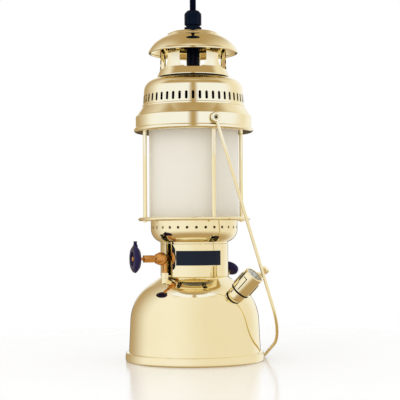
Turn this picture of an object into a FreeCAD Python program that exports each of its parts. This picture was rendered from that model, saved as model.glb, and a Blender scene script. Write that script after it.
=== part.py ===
import FreeCAD, Part
import math
import os

import Sketcher

Vector = FreeCAD.Vector

# Driving dimensions in millimetres and degrees. Heights are above the floor or above the piece below,
# radii are about the piece's own axis, and a turn is the compass angle from the lantern's front,
# positive towards its right-hand side.
DIMENSIONS = {
    "Foot and tank": {
        "foot_radius": 84.5,
        "foot_top_radius": 83.4,
        "foot_height": 11.0,
        "foot_rounding": 1.6,
        "tank_radius": 80.6,
        "tank_bottom": 1.5,
        "tank_taper": 2.7,
        "tank_wall": 1.0,
        "shoulder_radius": 55.0,
        "shoulder_height": 47.2,
        "shoulder_slope": 55.0,
        "mouth_radius": 39.0,
        "base_rise": 7.0,
        "base_wall": 1.2,
        "base_inset": 3.0,
        "base_rim": 6.0,
        "plug_depth": 3.0,
        "plate_thickness": 1.2,
        "seat_gap": 0.2,
    },
    "Collar and gallery cup": {
        "collar_radius": 41.2,
        "collar_wall": 1.2,
        "collar_height": 39.4,
        "gap_turn": -47.0,
        "gap_width": 10.5,
        "gap_height": 51.0,
        "gap_rounding": 2.5,
        "cup_radius": 52.8,
        "cup_rounding": 16.7,
        "cup_shoulder": 18.0,
        "cup_height": 29.4,
        "air_hole_radius": 1.7,
        "air_hole_count": 30,
        "air_hole_drop": 9.6,
        "air_hole_turn": 3.2,
        "lug_hole_turn": 30.5,
        "lug_hole_width": 11.0,
        "lug_hole_height": 7.5,
        "lug_hole_rise": 5.9,
    },
    "Gallery ring, posts and glass": {
        "gallery_radius": 68.0,
        "gallery_inner_radius": 50.0,
        "gallery_web": 1.2,
        "gallery_bead": 2.2,
        "frame_turn": 22.0,
        "post_circle": 63.0,
        "post_radius": 2.4,
        "post_length": 104.6,
        "post_stud_radius": 1.5,
        "post_stud_length": 4.6,
        "post_rivet_length": 2.2,
        "stud_gap": 0.05,
        "nut_across": 5.5,
        "nut_height": 2.6,
        "post_count": 4,
        "glass_radius": 54.5,
        "glass_wall": 3.0,
        "glass_length": 116.0,
        "glass_gap": 0.7,
    },
    "Rim ring and bail pivots": {
        "rim_lip_radius": 72.8,
        "rim_bead": 3.0,
        "rim_band_radius": 70.8,
        "rim_band_height": 18.9,
        "rim_corner": 2.0,
        "rim_corner_drop": 1.3,
        "rim_corner_rise": 1.2,
        "rim_wall": 1.2,
        "rim_height": 30.4,
        "rim_top_radius": 62.6,
        "rim_top_flange": 4.6,
        "pivot_rise": 12.3,
        "pivot_turn": 20.5,
        "pivot_radius": 2.25,
        "pivot_gap": 0.05,
        "spacer_radius": 5.0,
        "rivet_head_radius": 4.2,
        "rivet_head_height": 1.8,
        "pin_recess": 0.8,
        "pin_rounding": 0.7,
    },
    "Bail": {
        "bail_leg": 75.0,
        "bail_wire_radius": 1.9,
        "bail_shoulder": 269.2,
        "bail_pitch": 24.0,
        "bail_bend": 55.0,
        "bail_peak_bend": 12.0,
        "bail_lean": 17.7,
        "eye_wire_radius": 2.0,
        "side_gap": 0.3,
    },
    "Vent dome": {
        "dome_radius": 61.7,
        "dome_top_radius": 45.0,
        "dome_wall": 1.2,
        "dome_rounding": 15.4,
        "dome_shoulder": 19.2,
        "dome_mouth_gap": 0.2,
        "dome_bead": 0.9,
        "dome_bead_height": 2.4,
        "slot_count": 48,
        "slot_width": 3.2,
        "slot_height": 9.9,
        "slot_rise": 9.4,
    },
    "Windowed neck": {
        "neck_radius": 40.4,
        "neck_wall": 1.2,
        "neck_spigot": 5.0,
        "skirt_radius": 43.9,
        "skirt_gap": 2.2,
        "skirt_edge": 1.0,
        "skirt_hollow": 2.6,
        "skirt_height": 11.8,
        "vent_count": 5,
        "vent_width": 32.0,
        "vent_sill": 10.8,
        "vent_height": 27.2,
        "vent_rounding": 10.0,
    },
    "Brim and top cap": {
        "brim_dome_radius": 34.8,
        "brim_centre_radius": 22.6,
        "brim_centre_rise": 19.1,
        "brim_edge_angle": 24.0,
        "brim_wall": 1.2,
        "brim_bead": 1.5,
        "brim_bead_radius": 53.0,
        "brim_bead_rise": 13.5,
        "brim_mouth": 31.0,
        "cap_radius": 31.5,
        "cap_edge": 1.4,
        "cap_corner": 1.1,
        "cap_step_radius": 28.4,
        "cap_step_rise": 3.7,
        "cap_rise": 6.4,
        "cap_seat_radius": 12.4,
        "cap_wall": 1.6,
        "cap_overlap": 2.0,
    },
    "Badge plate": {
        "badge_width": 58.8,
        "badge_height": 19.3,
        "badge_thickness": 0.9,
        "badge_turn": 8.7,
        "badge_rise": 22.5,
        "badge_gap": 0.05,
    },
    "Cable gland and stem": {
        "stem_radius": 7.9,
        "stem_bore": 6.4,
        "stem_length": 74.0,
        "stem_gap": 0.1,
        "stem_nut_across": 20.0,
        "stem_nut_height": 5.0,
        "gland_across": 20.8,
        "gland_hex_height": 3.6,
        "gland_neck_radius": 8.4,
        "gland_neck_height": 2.8,
        "gland_spigot": 9.0,
        "gland_gap": 0.1,
        "gland_nut_radius": 10.4,
        "gland_nut_height": 18.2,
        "gland_nut_rounding": 4.0,
        "cable_radius": 3.8,
        "cable_gap": 0.1,
        "cord_length": 170.0,
    },
    "Lamp holder and bulb": {
        "holder_radius": 20.0,
        "holder_length": 46.0,
        "holder_rounding": 5.0,
        "holder_neck_radius": 12.0,
        "holder_neck_height": 8.0,
        "holder_ring_radius": 23.0,
        "holder_ring_height": 8.0,
        "holder_ring_rise": 14.0,
        "bulb_cap_radius": 13.2,
        "bulb_cap_length": 24.0,
        "bulb_cap_reach": 2.0,
        "bulb_cap_gap": 0.1,
        "bulb_radius": 30.0,
        "bulb_length": 80.0,
        "bulb_slope": 21.0,
    },
    "Filler": {
        "seat_turn": 49.0,
        "seat_tilt": 39.0,
        "filler_turn": 62.0,
        "filler_tilt": 45.5,
        "filler_flange_radius": 10.5,
        "filler_flange_height": 6.0,
        "filler_sink": 4.0,
        "filler_neck_radius": 9.0,
        "filler_bore": 6.6,
        "filler_thread_radius": 8.6,
        "filler_neck_height": 21.0,
        "filler_depth": 8.0,
        "gasket_height": 2.0,
        "gasket_radius": 11.9,
        "filler_cap_radius": 11.75,
        "filler_cap_height": 26.0,
        "filler_cap_gap": 0.3,
        "filler_cap_roof": 9.0,
        "filler_cap_rounding": 1.0,
        "grip_width": 4.4,
        "grip_rise": 1.0,
        "grip_low": 2.5,
        "grip_height": 16.0,
        "grip_turn": -98.0,
        "second_grip_turn": 22.0,
        "dial_radius": 9.4,
        "dial_recess": 2.2,
        "dial_gap": 0.1,
        "dial_thickness": 0.8,
        "release_offset": 16.0,
        "release_turn": 86.0,
        "release_radius": 4.4,
        "release_height": 6.0,
        "release_rounding": 0.8,
        "release_stem": 1.6,
        "release_gap": 0.06,
        "release_start": 18.0,
        "release_reach": 30.5,
        "release_boss_radius": 3.6,
        "release_boss_low": 16.0,
        "release_boss_height": 11.0,
    },
    "Pump": {
        "pump_turn": 143.5,
        "pump_tilt": 50.0,
        "pump_bush_radius": 11.0,
        "pump_bush_height": 7.0,
        "pump_bush_sink": 2.2,
        "pump_bush_rounding": 1.5,
        "pump_plug_depth": 6.0,
        "pump_barrel_radius": 9.6,
        "pump_barrel_wall": 1.0,
        "pump_barrel_top": 0.9,
        "pump_barrel_length": 84.0,
        "pump_rod_radius": 2.5,
        "pump_rod_gap": 0.06,
        "pump_rod_depth": 70.0,
        "pump_knob_reach": 22.0,
        "pump_knob_bore": 5.0,
        "pump_knob_radius": 10.6,
        "pump_knob_height": 8.6,
        "pump_knob_rounding": 2.4,
        "pump_cup_height": 7.0,
        "pump_cup_gap": 0.3,
        "pump_cup_wall": 1.4,
        "check_valve_radius": 6.0,
        "check_valve_length": 7.0,
        "check_valve_nose": 3.0,
    },
    "Valve": {
        "riser_circle": 46.5,
        "riser_turn": -48.8,
        "riser_boss_radius": 4.5,
        "riser_boss_depth": 6.0,
        "riser_boss_rise": 3.2,
        "riser_nut_across": 8.0,
        "riser_nut_height": 6.4,
        "riser_radius": 3.0,
        "riser_gap": 0.1,
        "valve_rise": 21.9,
        "spindle_turn": -72.0,
        "valve_ball_radius": 7.9,
        "valve_ball_reach": 5.0,
        "valve_ring_radius": 5.9,
        "valve_ring_end": 11.4,
        "valve_neck_radius": 3.9,
        "valve_bore": 3.0,
        "inlet_radius": 2.6,
        "inlet_depth": 15.0,
        "packing_start": 14.6,
        "packing_across": 8.6,
        "packing_height": 12.2,
        "spindle_radius": 1.6,
        "spindle_gap": 0.06,
        "spindle_start": 6.0,
        "spindle_end": 35.5,
        "wheel_start": 31.1,
        "wheel_radius": 16.8,
        "wheel_back_radius": 6.0,
        "wheel_back_bulge": 24.0,
        "wheel_rim_rise": 5.4,
        "wheel_face_radius": 13.4,
        "wheel_face_rise": 9.4,
        "wheel_rim_bulge": 5.2,
        "wheel_recess_radius": 8.8,
        "wheel_recess": 2.6,
        "wheel_bore_gap": 0.05,
        "pointer_width": 3.6,
        "pointer_height": 4.4,
        "pointer_shoulder": 4.5,
        "pointer_thickness": 3.6,
        "screw_radius": 1.0,
        "screw_head_radius": 3.0,
        "screw_head_height": 2.4,
    },
    "Ceiling rose": {
        "rose_radius": 42.0,
        "rose_height": 24.0,
        "rose_wall": 1.0,
        "rose_rounding": 12.0,
        "bracket_reach": 40.0,
        "bracket_width": 16.0,
        "bracket_thickness": 2.0,
        "bracket_ear": 12.0,
        "bracket_hole_radius": 2.4,
        "bracket_hole_spacing": 54.0,
        "cord_grip_radius": 6.5,
        "cord_grip_flange": 9.0,
        "cord_grip_flange_height": 2.0,
        "cord_grip_height": 14.0,
        "rose_screw_radius": 1.6,
        "rose_screw_length": 7.0,
        "rose_screw_head": 3.2,
        "rose_screw_head_height": 1.6,
        "rose_screw_drop": 7.0,
    },
}


class Size:
    """A number that remembers the expression over the sheet which gives it."""

    def __init__(self, value, text):
        self.value = value
        self.text = text

    def join(self, sign, other, value):
        return Size(value, f"({self.text} {sign} {as_text(other)})")

    def __add__(self, other):
        return self.join("+", other, self.value + number(other))

    def __sub__(self, other):
        return self.join("-", other, self.value - number(other))

    def __mul__(self, other):
        return self.join("*", other, self.value * number(other))

    def __truediv__(self, other):
        return self.join("/", other, self.value / number(other))

    def __neg__(self):
        return Size(-self.value, f"(0 - {self.text})")


def number(size):
    return size.value if isinstance(size, Size) else float(size)


def as_text(size):
    return size.text if isinstance(size, Size) else repr(float(size))


def sine(angle):
    return Size(math.sin(math.radians(angle.value)), f"sin({angle.text} * 1 deg)")


def cosine(angle):
    return Size(math.cos(math.radians(angle.value)), f"cos({angle.text} * 1 deg)")


def tangent(angle):
    return Size(math.tan(math.radians(angle.value)), f"tan({angle.text} * 1 deg)")


def square_root(size):
    return Size(math.sqrt(size.value), f"sqrt({size.text})")


def leg_of(slant, side):
    """The other short side of a right triangle."""
    return square_root(slant * slant - side * side)


class Sheet:
    """The spreadsheet of driving dimensions, which gives each one as a Size."""

    def __init__(self, document, groups):
        self.sheet = document.addObject("Spreadsheet::Sheet", "Sizes")
        row = 1
        for heading, dimensions in groups.items():
            self.sheet.set(f"A{row}", heading)
            row += 1
            for alias, value in dimensions.items():
                self.sheet.set(f"A{row}", alias.replace("_", " "))
                self.sheet.set(f"B{row}", str(value))
                self.sheet.setAlias(f"B{row}", alias)
                row += 1
        document.recompute()

    def __getattr__(self, alias):
        return Size(float(getattr(self.sheet, alias)), f"Sizes.{alias}")


doc = FreeCAD.newDocument("Lantern")
size = Sheet(doc, DIMENSIONS)
ZERO = Size(0.0, "0")
parts = {}


def keep(name, thing):
    """Name a finished piece of the lantern."""
    thing.Label = name
    parts[name] = thing
    return thing


def bind(thing, path, value):
    """Tie a property of an object to the sheet."""
    thing.setExpression(path, as_text(value))


def new_body(name):
    return doc.addObject("PartDesign::Body", name + "_body")


def origin_item(body, role):
    return next(item for item in body.Origin.OriginFeatures if item.Role == role)


def new_sketch(body, name, role, offset=ZERO):
    """A sketch on one of the body's own origin planes, shifted along its normal."""
    sketch = body.newObject("Sketcher::SketchObject", name)
    sketch.AttachmentSupport = [(origin_item(body, role), "")]
    sketch.MapMode = "FlatFace"
    if offset is not ZERO:
        bind(sketch, "AttachmentOffset.Base.z", offset)
    return sketch


def pin_point(sketch, edge, end, place):
    """Fix a point of an edge at a place that the sheet gives."""
    for kind, distance in zip(("DistanceX", "DistanceY"), place):
        row = sketch.addConstraint(Sketcher.Constraint(kind, edge, end, number(distance)))
        sketch.setExpression(f"Constraints[{row}]", as_text(distance))


def arc_between(start, end, radius):
    """The short arc from start to end, bulging to the right of the way if the radius is positive."""
    half = (end - start) * 0.5
    rise = abs(radius) - math.sqrt(max(radius**2 - half.Length**2, 0.0))
    side = Vector(half.y, -half.x, 0).normalize() * math.copysign(rise, radius)
    return Part.Arc(start, start + half + side, end)


def draw_outline(sketch, outline, closed=True):
    """Join the points of an outline. A point's third value is the radius of the arc that ends there."""
    points = [Vector(number(point[0]), number(point[1]), 0) for point in outline]
    steps = len(outline) if closed else len(outline) - 1
    ends = []
    for index in range(steps):
        after = (index + 1) % len(outline)
        if len(outline[after]) == 3:
            radius = outline[after][2]
            edge = sketch.addGeometry(arc_between(points[index], points[after], number(radius)))
            wide = radius if radius.value > 0 else -radius
            row = sketch.addConstraint(Sketcher.Constraint("Radius", edge, wide.value))
            sketch.setExpression(f"Constraints[{row}]", wide.text)
            # A sketch keeps its arcs counter-clockwise, so a clockwise arc's ends change places.
            ends.append((edge, 1, 2) if radius.value > 0 else (edge, 2, 1))
        else:
            edge = sketch.addGeometry(Part.LineSegment(points[index], points[after]))
            ends.append((edge, 1, 2))
        pin_point(sketch, edge, ends[-1][1], outline[index])
    for (edge, _, last), (follower, first, _) in zip(ends, ends[1:] + ends[:1] if closed else ends[1:]):
        sketch.addConstraint(Sketcher.Constraint("Coincident", edge, last, follower, first))
    if not closed:
        pin_point(sketch, ends[-1][0], ends[-1][2], outline[-1])


def draw_circle(sketch, centre, radius):
    middle = Vector(number(centre[0]), number(centre[1]), 0)
    edge = sketch.addGeometry(Part.Circle(middle, Vector(0, 0, 1), number(radius)))
    pin_point(sketch, edge, 3, centre)
    row = sketch.addConstraint(Sketcher.Constraint("Radius", edge, number(radius)))
    sketch.setExpression(f"Constraints[{row}]", as_text(radius))


def rectangle(centre, width, height):
    left = centre[0] - width / 2
    right = centre[0] + width / 2
    low = centre[1] - height / 2
    high = centre[1] + height / 2
    return [(left, low), (right, low), (right, high), (left, high)]


def hexagon(across):
    """Six corners about the origin, for a width across the flats."""
    half = across / 2
    corner = across / math.sqrt(3.0)
    return [
        (half, -corner / 2),
        (half, corner / 2),
        (ZERO, corner),
        (-half, corner / 2),
        (-half, -corner / 2),
        (ZERO, -corner),
    ]


def ring(inner, outer, low, high):
    return [(inner, low), (outer, low), (outer, high), (inner, high)]


def turn_outline(body, name, outline, angle=None, axis="V_Axis"):
    """Turn an outline of radius and height about the body's upright axis, or about another."""
    sketch = new_sketch(body, name + "_profile", "XZ_Plane")
    draw(sketch, outline)
    turned = body.newObject("PartDesign::Revolution", name + "_turned")
    turned.Profile = sketch
    turned.ReferenceAxis = (sketch, [axis])
    turned.Angle = 360
    if angle is not None:
        turned.Midplane = True
        bind(turned, "Angle", angle)
    return turned


def turned_body(name, outline):
    body = new_body(name)
    turn_outline(body, name, outline)
    return body


def cut(body, name, outline, role, depth, offset=ZERO, reverse=False, both_ways=False):
    """Pocket an outline or a circle, and make sure that it took something away."""
    before = checked_volume(body)
    sketch = new_sketch(body, name + "_outline", role, offset)
    draw(sketch, outline)
    pocket = body.newObject("PartDesign::Pocket", name)
    pocket.Profile = sketch
    pocket.Reversed = reverse
    pocket.Midplane = both_ways
    bind(pocket, "Length", depth)
    if checked_volume(body) > before - 0.01:
        raise RuntimeError(f"{name} takes nothing away")
    return pocket


def add(body, name, outline, role, length, offset=ZERO, reverse=False):
    """Pad an outline or a circle, and make sure that it added something."""
    before = checked_volume(body)
    sketch = new_sketch(body, name + "_outline", role, offset)
    draw(sketch, outline)
    pad = body.newObject("PartDesign::Pad", name)
    pad.Profile = sketch
    pad.Reversed = reverse
    bind(pad, "Length", length)
    if checked_volume(body) < before + 0.01:
        raise RuntimeError(f"{name} adds nothing")
    return pad


def checked_volume(body):
    doc.recompute()
    return 0.0 if body.Shape.isNull() else body.Shape.Volume


def draw(sketch, outline):
    """An outline is a list of points, or a circle as its centre and radius."""
    if isinstance(outline, tuple):
        draw_circle(sketch, *outline)
    else:
        draw_outline(sketch, outline)


def repeat(body, name, feature, count):
    """Repeat a feature evenly about the body's upright axis."""
    pattern = body.newObject("PartDesign::PolarPattern", name)
    pattern.Originals = [feature]
    pattern.Axis = (origin_item(body, "Z_Axis"), [""])
    pattern.Angle = 360
    bind(pattern, "Occurrences", count)
    body.Tip = pattern
    return pattern


def cylinder(name, radius, height):
    rod = doc.addObject("Part::Cylinder", name)
    bind(rod, "Radius", radius)
    bind(rod, "Height", height)
    return rod


def subtract(name, base, tools):
    """The base without the tools."""
    tool = tools[0]
    if len(tools) > 1:
        tool = doc.addObject("Part::MultiFuse", name + "_tools")
        tool.Shapes = tools
    result = doc.addObject("Part::Cut", name + "_cut")
    result.Base = base
    result.Tool = tool
    return result


def join(name, members):
    """One solid out of several."""
    result = doc.addObject("Part::MultiFuse", name + "_join")
    result.Shapes = members
    return result


def group(name, members):
    """Separate identical solids that share one name."""
    result = doc.addObject("Part::Compound", name + "_group")
    result.Links = members
    return result


def facing(origin, turn, tilt, reach=ZERO):
    """A placement whose own Z axis points at a turn and a tilt above level, and whose own X axis
    points straight down the slope. The reach shifts it along its Z axis."""
    spin = FreeCAD.Rotation(Vector(0, 0, 1), number(turn) - 90)
    rotation = spin * FreeCAD.Rotation(Vector(0, 1, 0), 90 - number(tilt))
    return FreeCAD.Placement(origin + rotation.multVec(Vector(0, 0, number(reach))), rotation)


def about_axis(turn, height=ZERO):
    """A placement on the lantern's axis whose own front points at a turn."""
    spin = FreeCAD.Rotation(Vector(0, 0, 1), number(turn))
    return FreeCAD.Placement(Vector(0, 0, number(height)), spin)


def frame_placement(height=ZERO):
    """A placement on the lantern's axis whose own X axis runs through the first post."""
    return about_axis(size.frame_turn - 90.0, height)


def pivot_placement(height=ZERO):
    """A placement on the lantern's axis whose own X axis runs through the bail's pivots."""
    return about_axis(size.pivot_turn - 90.0, height)


# Heights and radii that the pieces share
def wall_radius(height):
    """The outside radius of the tank's tapered wall."""
    return size.tank_radius - (height - size.tank_bottom) * tangent(size.tank_taper)


wall_top = size.shoulder_height + size.shoulder_radius * sine(size.tank_taper)
shoulder_centre = wall_radius(wall_top) - size.shoulder_radius * cosine(size.tank_taper)


def shoulder_point(angle, radius):
    """A point of the tank's rounded shoulder, or of a line parallel to it."""
    return (shoulder_centre + radius * cosine(angle), size.shoulder_height + radius * sine(angle))


def cone_height(radius):
    """The height of the cone above the tank's shoulder."""
    start = shoulder_point(size.shoulder_slope, size.shoulder_radius)
    return start[1] + (start[0] - radius) / tangent(size.shoulder_slope)


mouth_height = cone_height(size.mouth_radius)
plate_top = mouth_height + size.plate_thickness
collar_inside = size.collar_radius - size.collar_wall
collar_bottom = cone_height(collar_inside)
collar_top = collar_bottom + size.collar_height
gallery_bottom = collar_top + size.cup_height
gallery_top = gallery_bottom + size.gallery_web
rim_bottom = gallery_top + size.post_length
pivot_height = rim_bottom + size.pivot_rise
dome_bottom = rim_bottom + size.rim_height
dome_corner_height = dome_bottom + size.dome_shoulder
dome_top = dome_corner_height + size.dome_rounding
brim_centre_height = dome_top + size.brim_centre_rise
cap_bottom = brim_centre_height + leg_of(size.brim_dome_radius, size.brim_mouth - size.brim_centre_radius)
cap_top = cap_bottom + size.cap_rise
stem_bottom = cap_top - size.stem_length
gland_top = cap_top + size.gland_hex_height + size.gland_neck_height + size.gland_nut_height
cord_top = gland_top + size.cord_length
rose_bottom = cord_top + size.cord_grip_flange_height
rose_top = rose_bottom + size.rose_height


def make_foot_band():
    """A rolled band round the foot, which the lantern stands on."""
    edge = size.foot_rounding
    band = turned_body("foot_band", [
        (wall_radius(ZERO), ZERO),
        (size.foot_radius - edge, ZERO),
        (size.foot_radius, edge, edge),
        (size.foot_top_radius, size.foot_height - edge),
        (size.foot_top_radius - edge, size.foot_height, edge),
        (wall_radius(size.foot_height), size.foot_height),
    ])
    keep("foot_band", band)


def make_base_plate():
    """The tank's floor, pressed upwards into a shallow dome."""
    top = size.base_inset + size.base_wall
    outside = wall_radius(top) - size.tank_wall / cosine(size.tank_taper)
    edge = outside - size.base_rim
    rise = size.base_rise
    radius = (edge * edge + rise * rise) / (rise * 2)
    plate = turned_body("base_plate", [
        (edge, size.base_inset, -radius),
        (outside, size.base_inset),
        (outside, top),
        (edge, top),
        (ZERO, top + rise, radius),
        (ZERO, size.base_inset + rise),
    ])
    keep("base_plate", plate)


def tank_outside():
    """The outside of the tank from its floor to its mouth."""
    return [
        (size.tank_radius, size.tank_bottom),
        (wall_radius(wall_top), wall_top),
        (*shoulder_point(size.shoulder_slope, size.shoulder_radius), size.shoulder_radius),
        (size.mouth_radius, mouth_height),
    ]


def tank_core():
    """The tank as a solid block, for trimming what is soldered onto its shoulder."""
    body = turned_body("tank_core", [
        (ZERO, size.tank_bottom),
        *tank_outside(),
        (ZERO, mouth_height),
    ])
    return body


def direction(turn, tilt):
    """The unit vector at a turn and a tilt above level."""
    turn = math.radians(number(turn))
    tilt = math.radians(number(tilt))
    return Vector(math.cos(tilt) * math.sin(turn), -math.cos(tilt) * math.cos(turn), math.sin(tilt))


def seat(turn, tilt):
    """The point of the tank's shoulder whose outward normal has this turn and tilt."""
    radius, height = shoulder_point(tilt, size.shoulder_radius)
    return direction(turn, ZERO) * number(radius) + Vector(0, 0, number(height))


def on_filler(reach=ZERO):
    return facing(seat(size.seat_turn, size.seat_tilt), size.filler_turn, size.filler_tilt, reach)


def on_pump(reach=ZERO):
    return facing(seat(size.pump_turn, size.pump_tilt), size.pump_turn, size.pump_tilt, reach)


def on_riser(height):
    """The point on the valve's upright pipe at a height."""
    return direction(size.riser_turn, ZERO) * number(size.riser_circle) + Vector(0, 0, number(height))


def on_valve():
    return facing(on_riser(collar_bottom + size.valve_rise), size.spindle_turn, ZERO)


def make_tank_bell():
    """The tank's bell-shaped shell, with holes for the filler and the pump."""
    inner = size.shoulder_radius - size.tank_wall
    slope = size.shoulder_slope
    shell = turned_body("tank_shell", [
        *tank_outside(),
        (size.mouth_radius - size.tank_wall * cosine(slope), mouth_height - size.tank_wall * sine(slope)),
        shoulder_point(slope, inner),
        (*shoulder_point(size.tank_taper, inner), -inner),
        (size.tank_radius - size.tank_wall / cosine(size.tank_taper), size.tank_bottom),
    ])
    filler_hole = cylinder("filler_hole", size.filler_neck_radius + size.seat_gap, size.filler_depth * 2)
    filler_hole.Placement = on_filler(-size.filler_depth)
    pump_hole = cylinder("pump_hole", size.pump_barrel_radius + size.seat_gap, size.filler_depth * 2)
    pump_hole.Placement = on_pump(-size.filler_depth)
    keep("tank_bell", subtract("tank_bell", shell, [filler_hole, pump_hole]))


def make_tank_top_plate():
    """The disc that closes the tank's mouth and centres the collar."""
    plug = size.mouth_radius - size.tank_wall
    outside = collar_inside - size.seat_gap
    plate = turned_body("tank_top_plate", [
        (ZERO, mouth_height - size.plug_depth),
        (plug, mouth_height - size.plug_depth),
        (plug, mouth_height),
        (outside, mouth_height),
        (outside, plate_top),
        (ZERO, plate_top),
    ])
    keep("tank_top_plate", plate)


def box_cutter(name, width, height, depth, placement):
    """A block centred across and in height on its placement, which reaches its depth outwards."""
    block = doc.addObject("Part::Box", name)
    bind(block, "Length", width)
    bind(block, "Width", depth)
    bind(block, "Height", height)
    corner = Vector(-number(width) / 2, -number(depth), -number(height) / 2)
    block.Placement = placement.multiply(FreeCAD.Placement(corner, FreeCAD.Rotation()))
    return block


def valve_gap_cutter(name, top):
    """The cutter for the gap that the valve's pipe passes through, open at the collar's foot."""
    body = new_body(name)
    half = size.gap_width / 2
    low = collar_bottom - 1.0
    bend = size.gap_rounding
    outline = [
        (-half, low),
        (half, low),
        (half, top - bend),
        (half - bend, top, bend),
        (-half + bend, top),
        (-half, top - bend, bend),
    ]
    add(body, name + "_block", outline, "XZ_Plane", size.cup_radius * 2)
    body.Placement = about_axis(size.gap_turn)
    return body


def make_collar():
    """The collar below the burner's cup, with a gap for the valve that is open at its foot."""
    tube = turned_body("collar_tube", ring(collar_inside, size.collar_radius, collar_bottom, collar_top))
    cutter = valve_gap_cutter("collar_gap", collar_bottom + size.gap_height)
    keep("collar", subtract("collar", tube, [cutter]))


def make_gallery_cup():
    """The bowl above the collar, with a row of air holes, a lug's hole and the gap's upper end."""
    wall = size.collar_wall
    radius = size.cup_rounding
    middle = size.cup_radius - radius
    shoulder = collar_top + size.cup_shoulder
    body = turned_body("cup_shell", [
        (collar_inside, collar_top),
        (size.collar_radius, collar_top),
        (size.collar_radius, shoulder - leg_of(radius, size.collar_radius - middle)),
        (size.cup_radius, shoulder, radius),
        (size.cup_radius, gallery_bottom),
        (size.cup_radius - wall, gallery_bottom),
        (size.cup_radius - wall, shoulder),
        (collar_inside, shoulder - leg_of(radius - wall, collar_inside - middle), -(radius - wall)),
    ])
    centre = (ZERO, gallery_bottom - size.air_hole_drop)
    outline = (centre, size.air_hole_radius)
    hole = cut(body, "air_hole", outline, "XZ_Plane", size.cup_radius * 2, reverse=True)
    repeat(body, "air_holes", hole, size.air_hole_count)
    body.Placement = about_axis(size.air_hole_turn)
    lug_hole = box_cutter(
        "lug_hole", size.lug_hole_width, size.lug_hole_height, size.cup_radius,
        about_axis(size.lug_hole_turn, collar_top + size.lug_hole_rise),
    )
    gap = valve_gap_cutter("cup_gap", collar_bottom + size.gap_height)
    keep("gallery_cup", subtract("gallery_cup", body, [lug_hole, gap]))


def make_gallery_ring():
    """The ring that carries the posts and the glass, with a rolled edge."""
    bead_radius = size.gallery_radius - size.gallery_bead
    middle = gallery_bottom + size.gallery_web / 2
    body = turned_body("gallery_ring", [
        (size.gallery_inner_radius, gallery_bottom),
        (bead_radius, gallery_bottom),
        (bead_radius, middle - size.gallery_bead),
        (size.gallery_radius, middle, size.gallery_bead),
        (bead_radius, middle + size.gallery_bead, size.gallery_bead),
        (bead_radius, gallery_top),
        (size.gallery_inner_radius, gallery_top),
    ])
    hole = ((size.post_circle, ZERO), size.post_stud_radius + size.stud_gap)
    stud = cut(body, "stud_hole", hole, "XY_Plane", size.gallery_web, gallery_top)
    repeat(body, "stud_holes", stud, size.post_count)
    body.Placement = frame_placement()
    keep("gallery_ring", body)


def make_posts():
    """The posts, each a rod with a threaded stud below and a riveted stud above."""
    names = ("post_front_right", "post_back_right", "post_back_left", "post_front_left")
    for index, name in enumerate(names):
        post = turned_body(name, [
            (ZERO, -size.post_stud_length),
            (size.post_stud_radius, -size.post_stud_length),
            (size.post_stud_radius, ZERO),
            (size.post_radius, ZERO),
            (size.post_radius, size.post_length),
            (size.post_stud_radius, size.post_length),
            (size.post_stud_radius, size.post_length + size.post_rivet_length),
            (ZERO, size.post_length + size.post_rivet_length),
        ])
        post.Placement = on_post(index, gallery_top)
        keep(name, post)


def on_post(index, height):
    """A placement on one of the posts, counted from the first pivot towards the right and back."""
    placement = about_axis(number(size.frame_turn) - 90 + index * 360 / number(size.post_count), height)
    return placement.multiply(FreeCAD.Placement(Vector(number(size.post_circle), 0, 0), FreeCAD.Rotation()))


def hex_nut(name, across, height, bore):
    body = new_body(name)
    add(body, name + "_hexagon", hexagon(across), "XY_Plane", height)
    cut(body, name + "_bore", ((ZERO, ZERO), bore), "XY_Plane", height, height)
    return body


def make_post_nuts():
    """The nuts under the gallery ring."""
    nuts = []
    bore = size.post_stud_radius + size.stud_gap
    for index in range(int(number(size.post_count))):
        nut = hex_nut(f"post_nut_{index + 1}", size.nut_across, size.nut_height, bore)
        nut.Placement = on_post(index, gallery_bottom - size.nut_height)
        nuts.append(nut)
    keep("post_nuts", group("post_nuts", nuts))


def make_glass():
    """The frosted glass cylinder, which stands on the gallery ring and ends inside the rim ring."""
    inside = size.glass_radius - size.glass_wall
    keep("glass_cylinder", turned_body(
        "glass_cylinder", ring(inside, size.glass_radius, gallery_top, gallery_top + size.glass_length)
    ))


def make_rim_ring():
    """The ring at the top of the posts: a web, a rolled lip, an upright band and a sloping shoulder."""
    wall = size.rim_wall
    band = size.rim_band_radius
    lip_centre = size.rim_lip_radius - size.rim_bead
    band_top = rim_bottom + size.rim_band_height
    corner = (band - size.rim_corner_drop, band_top + size.rim_corner_rise)
    inner_edge = size.glass_radius + size.glass_gap
    body = turned_body("rim_ring", [
        (inner_edge, rim_bottom),
        (lip_centre, rim_bottom),
        (size.rim_lip_radius, rim_bottom + size.rim_bead, size.rim_bead),
        (band, rim_bottom + size.rim_bead + leg_of(size.rim_bead, band - lip_centre), size.rim_bead),
        (band, band_top),
        (*corner, size.rim_corner),
        (size.rim_top_radius, dome_bottom),
        (size.rim_top_radius - size.rim_top_flange, dome_bottom),
        (size.rim_top_radius - size.rim_top_flange, dome_bottom - wall),
        (size.rim_top_radius - wall, dome_bottom - wall),
        (corner[0] - wall, corner[1]),
        (band - wall, band_top),
        (band - wall, rim_bottom + wall),
        (inner_edge, rim_bottom + wall),
    ])
    offset = size.frame_turn - size.pivot_turn
    centre = (size.post_circle * cosine(offset), size.post_circle * sine(offset))
    hole = (centre, size.post_stud_radius + size.stud_gap)
    stud = cut(body, "rivet_hole", hole, "XY_Plane", wall, rim_bottom + wall)
    repeat(body, "rivet_holes", stud, size.post_count)
    pivot = ((ZERO, pivot_height), size.pivot_radius + size.pivot_gap)
    cut(body, "pivot_holes", pivot, "YZ_Plane", size.rim_lip_radius * 2, both_ways=True)
    body.Placement = pivot_placement()
    keep("rim_ring", body)


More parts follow.
